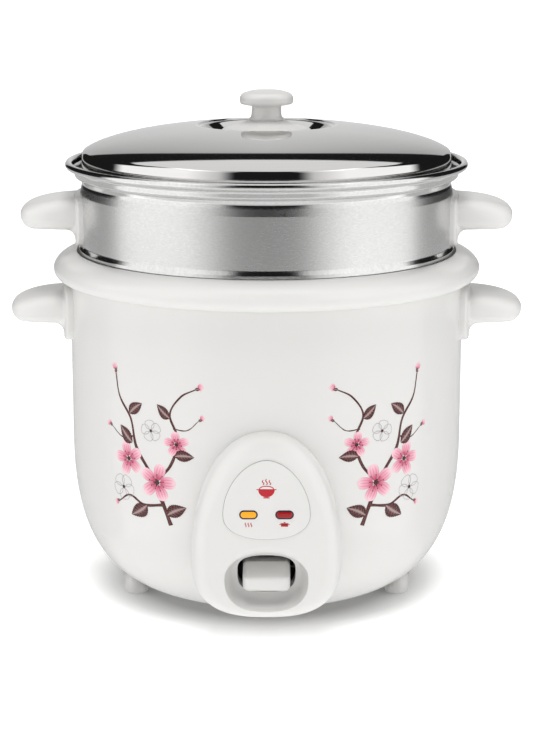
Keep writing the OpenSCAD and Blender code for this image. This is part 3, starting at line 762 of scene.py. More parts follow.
# %% Lamp windows
def lozenge(centre_x, centre_z, width, height, points=96):
    """An outline with straight top and bottom and half-circle ends."""
    a = np.arange(points) / points * TAU
    bulge = np.where(np.cos(a) >= 0, 1, -1) * (width - height) / 2
    return np.stack([centre_x + bulge + height / 2 * np.cos(a), centre_z + height / 2 * np.sin(a)], 1)


LAMP_Z = (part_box("warm_lens")[0].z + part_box("warm_lens")[1].z) / 2 / MM
for part, colour in (("warm_lens", amber), ("cook_lens", red)):
    middle_x = (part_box(part)[0].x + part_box(part)[1].x) / 2 / MM
    border = stamped_plate(
        part.replace("lens", "border"),
        lambda inset: lozenge(middle_x, LAMP_Z, 10.4 - 2 * inset, 5.2 - 2 * inset),
        [(0.0, -0.1), (0.0, 0.12), (0.12, 0.2), (0.4, 0.2)],
        PANEL_FRONT,
    )
    extra(border, navy)
    bulb = [(0.0, 0.1), (0.0, 0.3)]
    bulb += [(1.4 * (1 - np.cos(a)), 0.3 + 0.35 * np.sin(a)) for a in np.linspace(0.2, np.pi / 2, 6)]
    lens = stamped_plate(
        part.replace("lens", "window"),
        lambda inset: lozenge(middle_x, LAMP_Z, 8.8 - 2 * inset, 3.6 - 2 * inset),
        bulb,
        PANEL_FRONT,
    )
    stands_for(lens, part, colour)

# %% [markdown]
# **Printed signs.** Small printed pictures stand on the panel: a steaming rice bowl, three warm waves and
# a pot. They are thin closed strips and patches of ink, a few hundredths of a millimetre proud.

# %% Printed signs
INK = 0.05


def ribbon(line, width):
    """A strip along a line (x, z): the line moved to both sides by half the width at each point."""
    line = np.asarray(line, float)
    step = np.gradient(line, axis=0)
    side = np.stack([-step[:, 1], step[:, 0]], 1) / np.linalg.norm(step, axis=1)[:, None]
    half = np.broadcast_to(np.asarray(width, float) / 2, len(line))[:, None]
    return np.stack([line + side * half, line - side * half], 1)


def printed(name, strips, y, finish):
    """Joins strips (rows x 2 x 2) into one printed sign at depth y, each as a thin closed strip."""
    made = []
    for number, strip in enumerate(strips):
        left, right = strip[:, 0], strip[:, 1]
        loop = [(left, y), (left, y - INK), (right, y - INK), (right, y)]
        grid = np.stack([at_depth(side, at) for side, at in loop], 1)
        start, end = (np.repeat(row.mean(axis=1, keepdims=True), 4, 1) for row in (grid[:1], grid[-1:]))
        made.append(grid_piece(f"{name}_{number}", np.concatenate([start, grid, end])))
    sign = join_pieces(name, made)
    sign.data.shade_flat()
    return extra(sign, finish)


def wave(x, low_z, height, sway=0.45):
    """A rising wave of steam or heat: x sways as one turn of a sine over its height."""
    t = np.linspace(0, 1, 14)
    return np.stack([x + sway * np.sin(t * TAU), low_z + height * t], 1)


def bar(x, z, half, width):
    """A level bar of ink with its middle at (x, z)."""
    return ribbon([(x - half, z), (x + half, z)], width)


MARK_Z = 93.4
bowl_angle = np.linspace(np.pi, TAU, 25)
bowl_rim = np.stack([np.cos(bowl_angle), np.sin(bowl_angle)], 1)
bowl_fill = np.stack([bowl_rim * [4.6, 4.2], bowl_rim * [4.6, 0.0]], 1) + [0.0, MARK_Z]
heap_angle = np.linspace(np.pi, 0, 21)
heap = np.stack([3.9 * np.cos(heap_angle), 0.5 + 1.7 * np.sin(heap_angle)], 1) + [0.0, MARK_Z]
foot, brim = bar(0.0, MARK_Z - 4.55, 1.8, 0.6), bar(0.0, MARK_Z + 0.25, 5.6, 0.55)
strips = [bowl_fill[1:-1], ribbon(heap, 0.55), foot, brim]
strips += [ribbon(wave(x, MARK_Z + 3.0, rise), 0.55) for x, rise in ((-1.9, 2.6), (0.0, 3.3), (1.9, 2.6))]
mark = printed("bowl_sign", strips, PANEL_FRONT + 0.01, red_ink)
SIGN_X, SIGN_Z = 10.1, 73.0
strips = [ribbon(wave(-SIGN_X + x, SIGN_Z - 1.1, 2.4, 0.3), 0.5) for x in (-1.6, 0.0, 1.6)]
for up, half, width in ((-0.1, 2.0, 1.7), (1.05, 2.3, 0.35), (0.3, 3.0, 0.4), (1.5, 0.5, 0.5)):
    strips.append(bar(SIGN_X, SIGN_Z + up, half, width))
signs = printed("lamp_signs", strips, PANEL_FRONT + 0.01, red_ink)
print(mark.name, signs.name)

# %% [markdown]
# **Lever paddle.** A moulded tongue with a rounded nose. Its side view is carried across its width, and it
# shrinks a little towards both ends so that every corner is round.

# %% Lever paddle
PADDLE_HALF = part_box("lever_paddle")[1].x / MM
top_side = [(-106.0, 46.0), (-115.0, 46.0, 3.0), (-118.6, 44.2, 3.0), (-125.0, 41.4, 4.0)]
front_side = [(-127.9, 39.9, 2.2), (-127.9, 31.9, 3.0)]
under_side = [(-122.5, 31.8, 1.2), (-120.7, 37.6, 1.2), (-106.0, 37.6)]
nose = rounded(top_side + front_side + under_side)
CORNER = 3.2
low_turn = np.linspace(-np.pi / 2, 0, 8)
high_turn = np.linspace(0, np.pi / 2, 8)
across = CORNER * np.concatenate([1 + np.sin(low_turn), np.sin(high_turn) - 1])
across += np.repeat([-PADDLE_HALF, PADDLE_HALF], 8)
shrink = CORNER * (1 - np.cos(np.concatenate([low_turn, high_turn])))
paddle_middle = np.array([-118.0, 39.6])
toward = nose - paddle_middle
inward = toward / np.linalg.norm(toward, axis=1)[:, None]
rows = [np.c_[np.full(len(nose), x), nose - inward * s] for x, s in zip(across, shrink)]
ends = [np.tile([[x, *paddle_middle]], (len(nose), 1)) for x in (across[0], across[-1])]
paddle = grid_piece("paddle", np.stack([ends[0]] + rows + [ends[1]]), crisp=60)
stands_for(paddle, "lever_paddle", moulding)

# %% [markdown]
# ## Feet, rear inlet and handles
# The feet are four short turned pegs. Their tops are trimmed to the drum's round belly, so that no peg
# stands through the sheet. Each is made at its own place, and the four are joined into one moulding.

# %% Feet
FOOT_PLACES = ((80, -33), (-80, -33), (61, 61), (-61, 61))
BELLY_UNDER_R = [70, 78, 84, 90]
BELLY_UNDER_Z = [5.8, 6.6, 8.4, 11.4]
foot_line = rounded([(0, 0.0), (7.0, 0.0, 1.6), (7.9, 14.5), (7.4, 22.0), (0, 22.0)], 6)
turn = np.arange(64) / 64 * TAU
made = []
for number, place in enumerate(FOOT_PLACES):
    r, z = foot_line[:, :1], np.repeat(foot_line[:, 1:], 64, axis=1)
    x, y = place[0] + r * np.cos(turn), place[1] + r * np.sin(turn)
    top_z = np.interp(np.hypot(x, y), BELLY_UNDER_R, BELLY_UNDER_Z)
    z = np.where(z > 10, np.minimum(z, top_z + 1.5), z)
    made.append(grid_piece(f"foot_{number}", np.stack([x, y, z], -1)))
stands_for(join_pieces("peg_feet", made), "feet", moulding)

# %% [markdown]
# **Rear inlet.** A block with rounded edges carries the socket at the back. It could be a bevelled box, but
# a stack of rounded rectangles lets its root follow the drum, its edge roll over and its mouth sink round
# the socket, all in one grid.

# %% Rear inlet
INLET_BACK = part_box("inlet_housing")[1].y / MM
INLET_Z = (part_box("inlet_socket")[0].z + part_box("inlet_socket")[1].z) / 2 / MM


def squircle(half_x, half_z, inset, power):
    """A closed outline (x, z) about the inlet's middle, made smaller all round by inset."""
    c, s = signed_power(np.cos(around), 2 / power), signed_power(np.sin(around), 2 / power)
    return np.stack([(half_x - inset) * c, INLET_Z + (half_z - inset) * s], 1)


SHELL_HALF = (25.0, 17.0)
SOCKET_HALF = (14.6, 10.9)
shell = squircle(*SHELL_HALF, 0.0, 7.0)
rings = [at_depth(shell, -drum_depth(*shell.T) - MOULDING_SINK)]
EDGE = 4.0
for turn in np.linspace(0, np.pi / 2, 8):
    inset = EDGE * (1 - np.cos(turn))
    rings.append(at_depth(squircle(*SHELL_HALF, inset, 7.0), INLET_BACK - EDGE * (1 - np.sin(turn))))
for inset, depth in ((0.0, 0.0), (0.3, 0.4), (0.3, 8.0)):
    rings.append(at_depth(squircle(*SOCKET_HALF, inset, 12.0), INLET_BACK - depth))
inlet_cover = grid_piece("inlet_cover", np.stack(rings), flip=True)
stands_for(inlet_cover, "inlet_housing", moulding)

# %% [markdown]
# **Handles.** Each handle is a plate that lies on the wall with a flat grip growing out of it. The loft's
# rings are superellipses: first the plate's outline, then a hollow fillet, then sections of the grip down
# to a pole at its tip. A point at sideways distance y lies on a wall of radius R at x = sqrt(R^2 - y^2).


# %% Handle surface
def handle(name, wall_r, plate, plate_t, edge_r, grip, fillet, side):
    """plate = (z low, z high, half width). grip = (start x, tip x, top z, underside z, tip radius, half
    width). fillet = (sides, top, bottom). side is 1 for +X and -1 for -X."""
    a = np.arange(128) / 128 * TAU
    c, s = np.cos(a), np.sin(a)
    z_low, z_high, half = plate
    x0, tip, top, under, tip_r, grip_half = grip
    rings = []

    def plate_ring(inset, offset):
        y = (half - inset) * signed_power(c, 2 / 5)
        z = (z_low + z_high) / 2 + ((z_high - z_low) / 2 - inset) * signed_power(s, 2 / 5)
        rings.append(np.c_[np.sqrt((wall_r + offset) ** 2 - y * y), y, z])

    def section(x):
        """Grip section at x: width and height both close to nothing at the tip."""
        u = np.clip((x - x0) / (tip - x0), 0, 1)
        nose_z = under + tip_r
        wide = grip_half * (1 - u**3.2) ** (1 / 3.2)
        upper = nose_z + (top - nose_z) * (1 - u**2.6) ** (1 / 2.6)
        into_nose = np.clip((x - (tip - tip_r)) / tip_r, 0, 1)
        lower = nose_z - tip_r * np.sqrt(1 - into_nose**2)
        middle, tall = (upper + lower) / 2, (upper - lower) / 2
        power = 2 / (3.4 - 1.0 * u**2)
        return wide * signed_power(c, power), middle + tall * signed_power(s, power)

    for offset in (-0.4, plate_t - edge_r):
        plate_ring(0.0, offset)
    for t in np.linspace(0, np.pi / 2, 6)[1:]:
        plate_ring(edge_r * (1 - np.cos(t)), plate_t - edge_r * (1 - np.sin(t)))
    f = fillet[0] * c**2 + np.where(s > 0, fillet[1], fillet[2]) * s**2
    root_x = np.sqrt((wall_r + plate_t + f) ** 2 - (grip_half * signed_power(c, 0.6)) ** 2)
    y_root, z_root = section(root_x)
    for t in np.linspace(0, np.pi / 2, 9):
        grow = f * (1 - np.sin(t))
        y, z = y_root + grow * c, z_root + grow * s
        rings.append(np.c_[np.sqrt((wall_r + plate_t + f * (1 - np.cos(t))) ** 2 - y * y), y, z])
    start = np.arcsin(np.clip((root_x - x0) / (tip - x0), 0, 1))
    for t in np.linspace(0, 1, 40)[1:]:
        x = x0 + (tip - x0) * np.sin(start + (np.pi / 2 - start) * t)
        y, z = section(x)
        rings.append(np.c_[x, y, z])
    grid = np.stack(rings)
    grid[-1] = grid[-1].mean(axis=0)
    grid[..., 0] *= side
    return grid_piece(name, grid, flip=side > 0)


HANDLES = (
    ("body", DRUM_R, 4.5, 1.6, 112.0, (184.8, 164.7, 8.5, 28.0), (2.0, 2.4, 7.0)),
    ("steamer", 112.5, 3.5, 1.2, 105.5, (242.5, 221.5, 8.5, 27.0), (0.8, 0.5, 6.5)),
)
for side, word in ((1, "right"), (-1, "left")):
    for owner, wall_r, plate_t, edge_r, start_x, section_sizes, fillet in HANDLES:
        part = f"{owner}_handle_{word}"
        low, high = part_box(part)
        grip = (start_x, max(abs(low.x), abs(high.x)) / MM, *section_sizes)
        plate = (low.z / MM, high.z / MM, high.y / MM)
        grown = handle(f"{owner}_grip_{word}", wall_r, plate, plate_t, edge_r, grip, fillet, side)
        stands_for(grown, part, moulding)

# %% [markdown]
# ## Pot, steamer and lid
# All three are spun from one line each. The pot hangs by its flange in the collar, the steamer stands on
# the pot's flange, and the lid's skirt drops inside the steamer's rolled rim.

# %% Inner pot
POT_SHEET = 1.2
POT_R = 107.5
POT_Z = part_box("inner_pot")[0].z / MM
FLANGE_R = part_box("inner_pot")[1].x / MM
FLANGE_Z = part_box("inner_pot")[1].z / MM - POT_SHEET
pot_line = rounded([(0, POT_Z), (POT_R, POT_Z, 20.0), (POT_R, FLANGE_Z, 1.8), (FLANGE_R, FLANGE_Z)], 14)
straight = np.stack([np.linspace(0, 80, 12), np.full(12, POT_Z)], 1)
pot_line = np.vstack([straight, pot_line[1:]])
pot = turned("cooking_pot", sheet_wall(pot_line, POT_SHEET))
stands_for(pot, "inner_pot", spun_alloy)

# %% [markdown]
# **Steamer.** The wall's line, from the floor up: a rounded foot that nests in the pot, a step, a
# swelling, the straight satin band, a groove, and a bell mouth that ends in a rolled rim. Corner points
# with a radius each are enough for it, and turning the finished line keeps every bead round.

# %% Steamer wall
STEAMER_SHEET = 0.8
foot_part = [(100.0, 199.5), (104.0, 199.5, 3.0), (104.0, 205.3, 0.6), (113.4, 205.3, 1.0)]
swelling = [(113.9, 207.4, 1.5), (113.8, 211.0, 0.7), (112.5, 213.4, 0.7)]
groove = [(112.5, 243.9, 3.0), (111.3, 250.2, 2.5), (112.1, 252.6, 1.0)]
bell_mouth = [(115.6, 254.0, 1.6), (115.9, 257.9, 2.5), (118.6, 259.4, 0.8)]
steamer_line = rounded(foot_part + swelling + groove + bell_mouth, 10)
curl = np.linspace(np.radians(-100), np.radians(160), 26)
RIM_TUBE = 2.2
RIM_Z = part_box("steamer_tray")[1].z / MM - RIM_TUBE
rolled = np.stack([119.0 + RIM_TUBE * np.cos(curl), RIM_Z + RIM_TUBE * np.sin(curl)], 1)
steamer_line = np.vstack([steamer_line[:-1], rolled])
steamer = turned("steamer_wall", sheet_wall(steamer_line, STEAMER_SHEET))
stands_for(steamer, "steamer_tray", banded_steel)

# %% [markdown]
# **Steamer floor.** The floor is a flat disc with rings of drilled holes that let the steam through. A grid
# can't hold free holes, and cutting them one by one with booleans would be slow. Here every circle is a
# spline of one flat curve, and the curve's own fill leaves the inner circles open.

# %% Steamer floor
HOLE_RINGS = 4
RING_PITCH = 22.0
HOLE_R = 2.6
FLOOR_Z = 199.9
flat = bpy.data.curves.new("steamer_floor", "CURVE")
flat.dimensions = "2D"
flat.fill_mode = "BOTH"
flat.extrude = STEAMER_SHEET / 2 * MM
circles = [(0.0, 0.0, 101.0, 192), (0.0, 0.0, 3.0, 24)]
for ring in range(1, HOLE_RINGS + 1):
    turn = (np.arange(8 * ring) + ring / 2) / (8 * ring) * TAU
    circles += [(RING_PITCH * ring * np.cos(t), RING_PITCH * ring * np.sin(t), HOLE_R, 20) for t in turn]
for x, y, r, points in circles:
    t = np.arange(points) / points * TAU
    spline = flat.splines.new("POLY")
    spline.points.add(points - 1)
    at = np.c_[x + r * np.cos(t), y + r * np.sin(t), np.zeros(points), np.full(points, 1 / MM)] * MM
    spline.points.foreach_set("co", at.ravel())
    spline.use_cyclic_u = True
shaped = add_object("floor_outline", flat)
floor_mesh = bpy.data.meshes.new_from_object(shaped.evaluated_get(bpy.context.evaluated_depsgraph_get()))
bpy.data.objects.remove(shaped)
points = np.empty(len(floor_mesh.vertices) * 3)
floor_mesh.vertices.foreach_get("co", points)
points[2::3] += FLOOR_Z * MM
floor_mesh.vertices.foreach_set("co", points)
steamer_floor = add_object("steamer_floor", floor_mesh)
stands_for(steamer_floor, "steamer_tray", satin_steel)

# %% [markdown]
# **Lid.** A polished dome with a dish pressed into its top for the knob. Past the shoulder it turns sharply
# into a straight skirt, and a small flange rests inside the steamer's rim. The polish shows every wave in
# the surface, so the dome has many rows.

# %% Lid
LID_SHEET = 0.8
DISH_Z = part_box("knob_base")[0].z / MM
DOME_TOP = 285.5
DOME_LOW = 263.7
DOME_W = 113.9
SKIRT_R = 111.2


def dome(r):
    """The dome's height: a superellipse of exponent 1.94 in radius."""
    return DOME_LOW + (DOME_TOP - DOME_LOW) * (1 - (r / DOME_W) ** 1.94) ** (1 / 1.94)


sweep = np.linspace(0, np.pi / 2, 60)
dome_r = 41.5 + (109.9 - 41.5) * np.sin(sweep)
shoulder = [(r, dome(r), 0.0) for r in dome_r[:-1]]
shoulder += [(110.6, 268.2, 1.5), (SKIRT_R, 264.5, 6.0), (SKIRT_R, 256.6, 0.5)]
shoulder += [(112.1, 255.3, 0.5), (114.3, 255.2)]
dish = rounded([(0, DISH_Z), (29.0, DISH_Z, 14.0), (39.0, dome(39.0) - 0.9, 6.0), (50.0, dome(50.0))], 14)
lid_line = np.vstack([dish[:-1][dish[:-1, 0] < 41.4], rounded(shoulder, 8)])
lid = turned("lid_dome", sheet_wall(lid_line, -LID_SHEET), segments=320)
stands_for(lid, "lid_shell", mirror_steel)

# %% [markdown]
# **Knob.** A moulded button on a waisted stem, over a shallow cone that covers the dish. Both are turned
# from a few corners with radii, as a lathe hand would draw them.

# %% Knob
KNOB_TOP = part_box("lid_knob")[1].z / MM
SKIRT_TOP = 286.6
skirt_side = [(27.3, 280.6, 2.0), (24.6, 282.0, 2.2), (14.0, 285.2, 12.0)]
base_line = rounded([(0, DISH_Z), (27.0, DISH_Z, 1.6), *skirt_side, (10.4, SKIRT_TOP)], 8)
base = turned("knob_skirt", np.vstack([base_line, [(0, SKIRT_TOP)]]), segments=160)
stands_for(base, "knob_base", moulding)
stem = [(0, 286.4), (10.8, 286.4), (9.0, 289.2, 3.0), (8.8, 295.4, 1.6)]
button = [(13.4, 295.6, 1.0), (16.0, 296.2, 2.0), (16.0, 302.0, 3.6), (9.0, KNOB_TOP - 0.4, 8.0)]
knob_line = rounded([*stem, *button, (0, KNOB_TOP)], 10)
knob = turned("knob_button", knob_line, segments=160)
stands_for(knob, "lid_knob", moulding)


# %% [markdown]
# ## Printed blossom sprays
# The drum carries a printed spray of blossom on each side of its front. Print is a layer of ink with no
# height worth seeing, but it has to follow the round wall. So the spray is drawn flat, in millimetres
# along the wall (u) and up it (v), and every point is then wrapped round the drum at a hair's distance.
# Petals, leaves and twigs are small grids whose points carry their own ink colour.

# %% Ink on the drum
SPRAY_AZIMUTH = 34.5
SPRAY_HEIGHT = 108.0
INK_LIFT = 0.06
DEEP_PINK = np.array([0.52, 0.07, 0.15])
MID_PINK = np.array([0.78, 0.36, 0.45])
PALE_PINK = np.array([0.86, 0.60, 0.66])
BARK = np.array([0.060, 0.012, 0.011])
BARK_LIGHT = np.array([0.17, 0.065, 0.058])
LEAF_DARK = np.array([0.060, 0.009, 0.010])
LEAF_LIGHT = np.array([0.42, 0.30, 0.29])
SKETCH_GREY = np.array([0.30, 0.29, 0.30])
EYE_INK = np.array([0.055, 0.016, 0.020])


def blend_ink(a, b, share):
    """Mixes two inks by a share that may vary over a grid."""
    return a + (b - a) * np.clip(share, 0, 1)[..., None]


def soft_step(value, low, high):
    """0 below low, 1 above high, and a smooth S between."""
    t = np.clip((value - low) / (high - low), 0, 1)
    return t * t * (3 - 2 * t)


def smooth_path(points, steps=40):
    """A curve through given points: each stretch is a Catmull-Rom cubic."""
    p = np.asarray(points, float)
    p = np.vstack([2 * p[0] - p[1], p, 2 * p[-1] - p[-2]])
    t = np.linspace(0, len(p) - 3 - 1e-9, steps)
    k = t.astype(int)
    f = (t - k)[:, None]
    a, b, c, d = p[k], p[k + 1], p[k + 2], p[k + 3]
    return 0.5 * (2 * b + (c - a) * f + (2 * a - 5 * b + 4 * c - d) * f**2 + (3 * b - a - 3 * c + d) * f**3)


# %% [markdown]
# A petal is widest past its middle and notched at its tip. Its width is a superellipse of the distance
# along it, and its colour runs from deep pink at the eye to pale at the rim, with fine darker streaks.


# %% Petals, leaves and twigs
def turned_to(origin, turn, along, aside, squash=1.0):
    """Places distances along and aside of a direction as points (u, v), squashed across the flower."""
    c, k = np.cos(turn), np.sin(turn)
    return np.stack([origin[0] + along * c - aside * k, origin[1] + squash * (along * k + aside * c)], -1)


def polar(turn, reach=1.0, squash=1.0):
    """The point (u, v) at a distance in a direction."""
    return reach * np.array([np.cos(turn), squash * np.sin(turn)])


def petal(centre, turn, length, width, squash=1.0):
    """Grid (u, v) and ink of one petal that points along turn, squashed across the flower."""
    s = np.linspace(0, 1, 12)[:, None]
    t = np.linspace(-1, 1, 9)[None, :]
    half = width * (1 - np.abs(2 * s**1.25 - 1) ** 2.3) ** (1 / 2.3)
    along = length * (0.13 + 0.87 * s - 0.12 * s**6 * np.exp(-((t / 0.4) ** 2))) + 0 * t
    grid = turned_to(centre, turn, along, half * t, squash)
    ink = blend_ink(DEEP_PINK, MID_PINK, soft_step(s + 0 * t, 0.08, 0.50))
    ink = blend_ink(ink, PALE_PINK, 0.85 * soft_step(s + 0 * t, 0.40, 0.95) + 0.25 * np.abs(t) ** 3)
    streak = 0.5 * (0.5 + 0.5 * np.cos(4 * np.pi * t)) * (1 - s) * s * 4
    return grid, blend_ink(ink, DEEP_PINK, streak)


def leaf(start, turn, length, width, bend=0.2):
    """Grid and ink of a toothed leaf on a bent midrib, with pale side veins."""
    s = np.linspace(0, 1, 25)[:, None]
    t = np.linspace(-1, 1, 7)[None, :]
    teeth = 1 + 0.16 * (np.abs(t) > 0.9) * (np.arange(25)[:, None] % 2)
    half = width * np.sin(np.pi * s**0.8) ** 0.9 * teeth
    grid = turned_to(start, turn, length * s + 0 * t, half * t + bend * length * s * s)
    veins = 0.5 + 0.5 * np.cos(7 * TAU * (s - 0.16 * np.abs(t)))
    rib = np.exp(-((t / 0.12) ** 2))
    return grid, blend_ink(LEAF_DARK, LEAF_LIGHT, 0.55 * veins**3 * (1 - np.abs(t)) + rib)


def twig(points, thick, thin, ink=BARK, pale=BARK_LIGHT, steps=44):
    """Grid and ink of a strip that tapers from thick to thin, with a lighter middle and slight knots."""
    line = smooth_path(points, steps)
    s = np.linspace(0, 1, steps)
    width = (thick + (thin - thick) * s) * (1 + 0.12 * np.sin(23 * s + thick))
    sides = ribbon(line, width)
    grid = np.stack([sides[:, 0], line, sides[:, 1]], 1)
    tone = np.tile([0.0, 0.55, 0.1], (steps, 1)) * (0.6 + 0.4 * np.sin(31 * s)[:, None])
    return grid, blend_ink(ink, pale, tone)


def spot(centre, radius, ink):
    """Grid and ink of a round dot."""
    a = np.linspace(0, TAU, 13)[None, :]
    r = np.array([0.0, 1.0])[:, None] * radius
    return np.stack([centre[0] + r * np.cos(a), centre[1] + r * np.sin(a)], -1), np.tile(ink, (2, 13, 1))


PETAL_LIFTS = (0.012, 0.0, 0.012, 0.0, 0.012)


def blossom(centre, size, turn, squash):
    """Five petals, a dark eye and a ring of stamens."""
    turns = turn + TAU * np.arange(5) / 5
    parts = [(petal(centre, at, size, 0.31 * size, squash), lift) for at, lift in zip(turns, PETAL_LIFTS)]
    for k in range(9):
        a = turn + 0.3 + TAU * k / 9
        reach = size * (0.34 + 0.10 * (k % 3) / 2)
        tip = centre + polar(a, reach, squash)
        middle = (np.array(centre) + tip) / 2
        parts.append((twig([centre, middle, tip], 0.34, 0.20, EYE_INK, DEEP_PINK, 6), 0.03))
        parts.append((spot(tip, 0.42, EYE_INK * 2), 0.04))
    parts.append((spot(centre, 0.12 * size, EYE_INK), 0.045))
    return parts


def sketched(centre, size, turn, squash):
    """The same five petals as thin grey outlines."""
    parts = []
    for k in range(5):
        grid = petal(centre, turn + TAU * k / 5, size, 0.46 * size, squash)[0]
        edge = np.vstack([grid[:, 0], grid[::-1, -1]])
        parts.append((twig(edge, 0.32, 0.24, SKETCH_GREY, SKETCH_GREY * 1.3, 40), 0.008))
    parts.append((spot(centre, 0.12 * size, EYE_INK), 0.01))
    return parts


def bud(start, turn, size):
    """A closed bud: one short petal in a dark cup."""
    tip = start + polar(turn, 0.35 * size)
    return [
        (petal(tip, turn, size, 0.42 * size), 0.0),
        (petal(tip, turn + 0.5, 0.8 * size, 0.30 * size), 0.012),
        (leaf(start, turn + 0.15, 0.75 * size, 0.22 * size), 0.02),
    ]


# %% [markdown]
# One spray: a bough that sways up from the lower front, a second bough, two twigs, three blossoms that
# shrink upwards, two sketched ones, toothed leaves and buds. The second spray is its mirror image.

# %% Spray layout
BOUGHS = (
    ([(-14, -44), (-9, -30), (-1, -14), (9, 0), (13, 16), (22, 28), (25, 41)], 3.0, 0.9),
    ([(-4, -19), (-15, -8), (-20, 8), (-15, 22), (-22, 33), (-31, 38)], 2.0, 0.8),
    ([(-10, -32), (4, -34), (15, -30), (24, -35)], 1.9, 0.8),
    ([(11, 6), (20, 4), (29, 9)], 0.9, 0.4),
    ([(-17, 14), (-26, 14), (-33, 20)], 0.8, 0.4),
)
spray = [(twig(path, thick, thin), -0.02) for path, thick, thin in BOUGHS]
spray += blossom((-6, -19), 12.5, 0.55, 0.92) + blossom((15, -8), 11.0, 1.3, 0.95)
spray += blossom((-19, 5), 8.5, 0.2, 0.90)
spray += sketched((20, -26), 8.5, 0.9, 0.92) + sketched((-2, 11), 7.0, 0.1, 0.9)
LEAVES = [((-12, -38), 2.5, 14.0, 3.8), ((2, -34), -0.75, 15.0, 4.2), ((12, 2), 0.55, 13.0, 3.6)]
LEAVES += [((14, 19), 2.3, 12.0, 3.3), ((-15, 20), 0.5, 11.0, 3.0), ((-18, -2), 2.9, 12.0, 3.2)]
BUDS = [((25, 41), 1.3, 4.6), ((-31, 38), 2.6, 4.2), ((29, 9), 0.4, 3.8), ((24, -35), -0.5, 3.8)]
BUDS += [((-33, 20), 2.4, 3.4)]
spray += [(leaf(start, turn, length, width), 0.02) for start, turn, length, width in LEAVES]
for start, turn, size in BUDS:
    spray += bud(start, turn, size)
print("one spray has", len(spray), "grids of ink")


# %% [markdown]
# Wrapping keeps lengths true: a step u along the wall is an angle u / R round the axis. Below the straight
# wall the radius comes from the drum's own formula. The ink colours travel with the points as a colour
# attribute, which the ink's finish reads.

# %% Wrap the spray round the drum
def wrap_spray(name, parts, side):
    """Joins the spray's grids into one mesh wrapped round the drum. side mirrors it left or right."""
    points, inks, faces, count = [], [], [], 0
    for (grid, ink), lift in parts:
        rows, columns = grid.shape[:2]
        v = SPRAY_HEIGHT + grid[..., 1]
        r = drum_radius(v) + INK_LIFT + lift
        a = np.radians(SPRAY_AZIMUTH) + grid[..., 0] / DRUM_R
        points.append(np.stack([side * r * np.sin(a), -r * np.cos(a), v], -1).reshape(-1, 3))
        inks.append(np.asarray(ink).reshape(-1, 3))
        index = count + np.arange(rows * columns).reshape(rows, columns)
        quads = np.stack([index[:-1, :-1], index[:-1, 1:], index[1:, 1:], index[1:, :-1]], -1)
        faces.append(quads.reshape(-1, 4))
        count += rows * columns
    points, inks, faces = np.concatenate(points) * MM, np.concatenate(inks), np.concatenate(faces)
    a, b, c, d = (points[faces[:, k]] for k in range(4))
    across = np.cross(b - a, c - a) + np.cross(c - a, d - a)
    outward = points[faces].mean(axis=1) * [1, 1, 0]
    inside_out = np.einsum("ij,ij->i", across, outward) < 0
    faces[inside_out] = faces[inside_out][:, ::-1]
    mesh = bpy.data.meshes.new(name)
    mesh.from_pydata(points.tolist(), [], faces.tolist())
    colours = mesh.color_attributes.new("ink", "FLOAT_COLOR", "POINT")
    colours.data.foreach_set("color", np.c_[inks, np.ones(len(inks))].ravel())
    mesh.validate()
    return add_object(name, mesh)


ink_finish, tree, shader = new_finish("blossom_ink", (0.8, 0.35, 0.42), 0.3, Specular_IOR_Level=0.2)
printed_ink = add_node(tree, "ShaderNodeAttribute", {"attribute_name": "ink"})
group = place_group(tree, skin, Peel_size=600.0, Peel_height=0.02, Gloss_low=0.26, Gloss_high=0.36)
grain = spread(tree, noise(tree, object_place(tree), 1400.0, 2.0), 0.42, 0.75, 0.0, 0.06)
feed_all(
    tree,
    shader,
    Base_Color=mix_colour(tree, grain, printed_ink.outputs["Color"], (0.82, 0.74, 0.73)),
    Roughness=group.outputs["Roughness"],
    Normal=group.outputs["Normal"],
)
for side, word in ((1, "right"), (-1, "left")):
    sheet = extra(wrap_spray(f"blossom_spray_{word}", spray, side), ink_finish)
    print(sheet.name, len(sheet.data.polygons), "faces")


# %% [markdown]
# ## Light
# A white floor, soft lamps for the plastic, and a planned surround for the steel. Polished steel shows
# only what stands round it, so the surround that mirrors see is drawn in the world's shader by direction:
# a pale backdrop behind, tall bright panels at both sides, a panel overhead and darkness between them.

# %% [markdown]
# The floor glows a little, except close under the cooker, so that only the contact shadow stays.

# %% Floor
FLOOR_HALF = 15.0
corners = [(FLOOR_HALF * x, FLOOR_HALF * y, 0) for x, y in ((-1, -1), (1, -1), (1, 1), (-1, 1))]
mesh = bpy.data.meshes.new("floor")
mesh.from_pydata(corners, [], [(0, 1, 2, 3)])
floor = add_object("floor", mesh)
floor.visible_glossy = False
paper, tree, shader = new_finish("paper_floor", (0.74, 0.74, 0.74), 0.9, Emission_Color=(1.0, 1.0, 1.0))
from_middle = add_node(tree, "ShaderNodeVectorMath", {"operation": "LENGTH"})
tree.links.new(object_place(tree), from_middle.inputs[0])
glow = spread(tree, from_middle.outputs["Value"], 0.075, 0.130, 0.0, 0.60, smooth=True)
feed_all(tree, shader, Emission_Strength=glow)
dress(floor, paper)
print("floor", 2 * FLOOR_HALF, "m wide")

# %% [markdown]
# **Surround.** Each direction is turned into an azimuth, 0 in front and 180 behind, and an elevation, in
# degrees. Soft-edged masks of those two numbers are the panels.

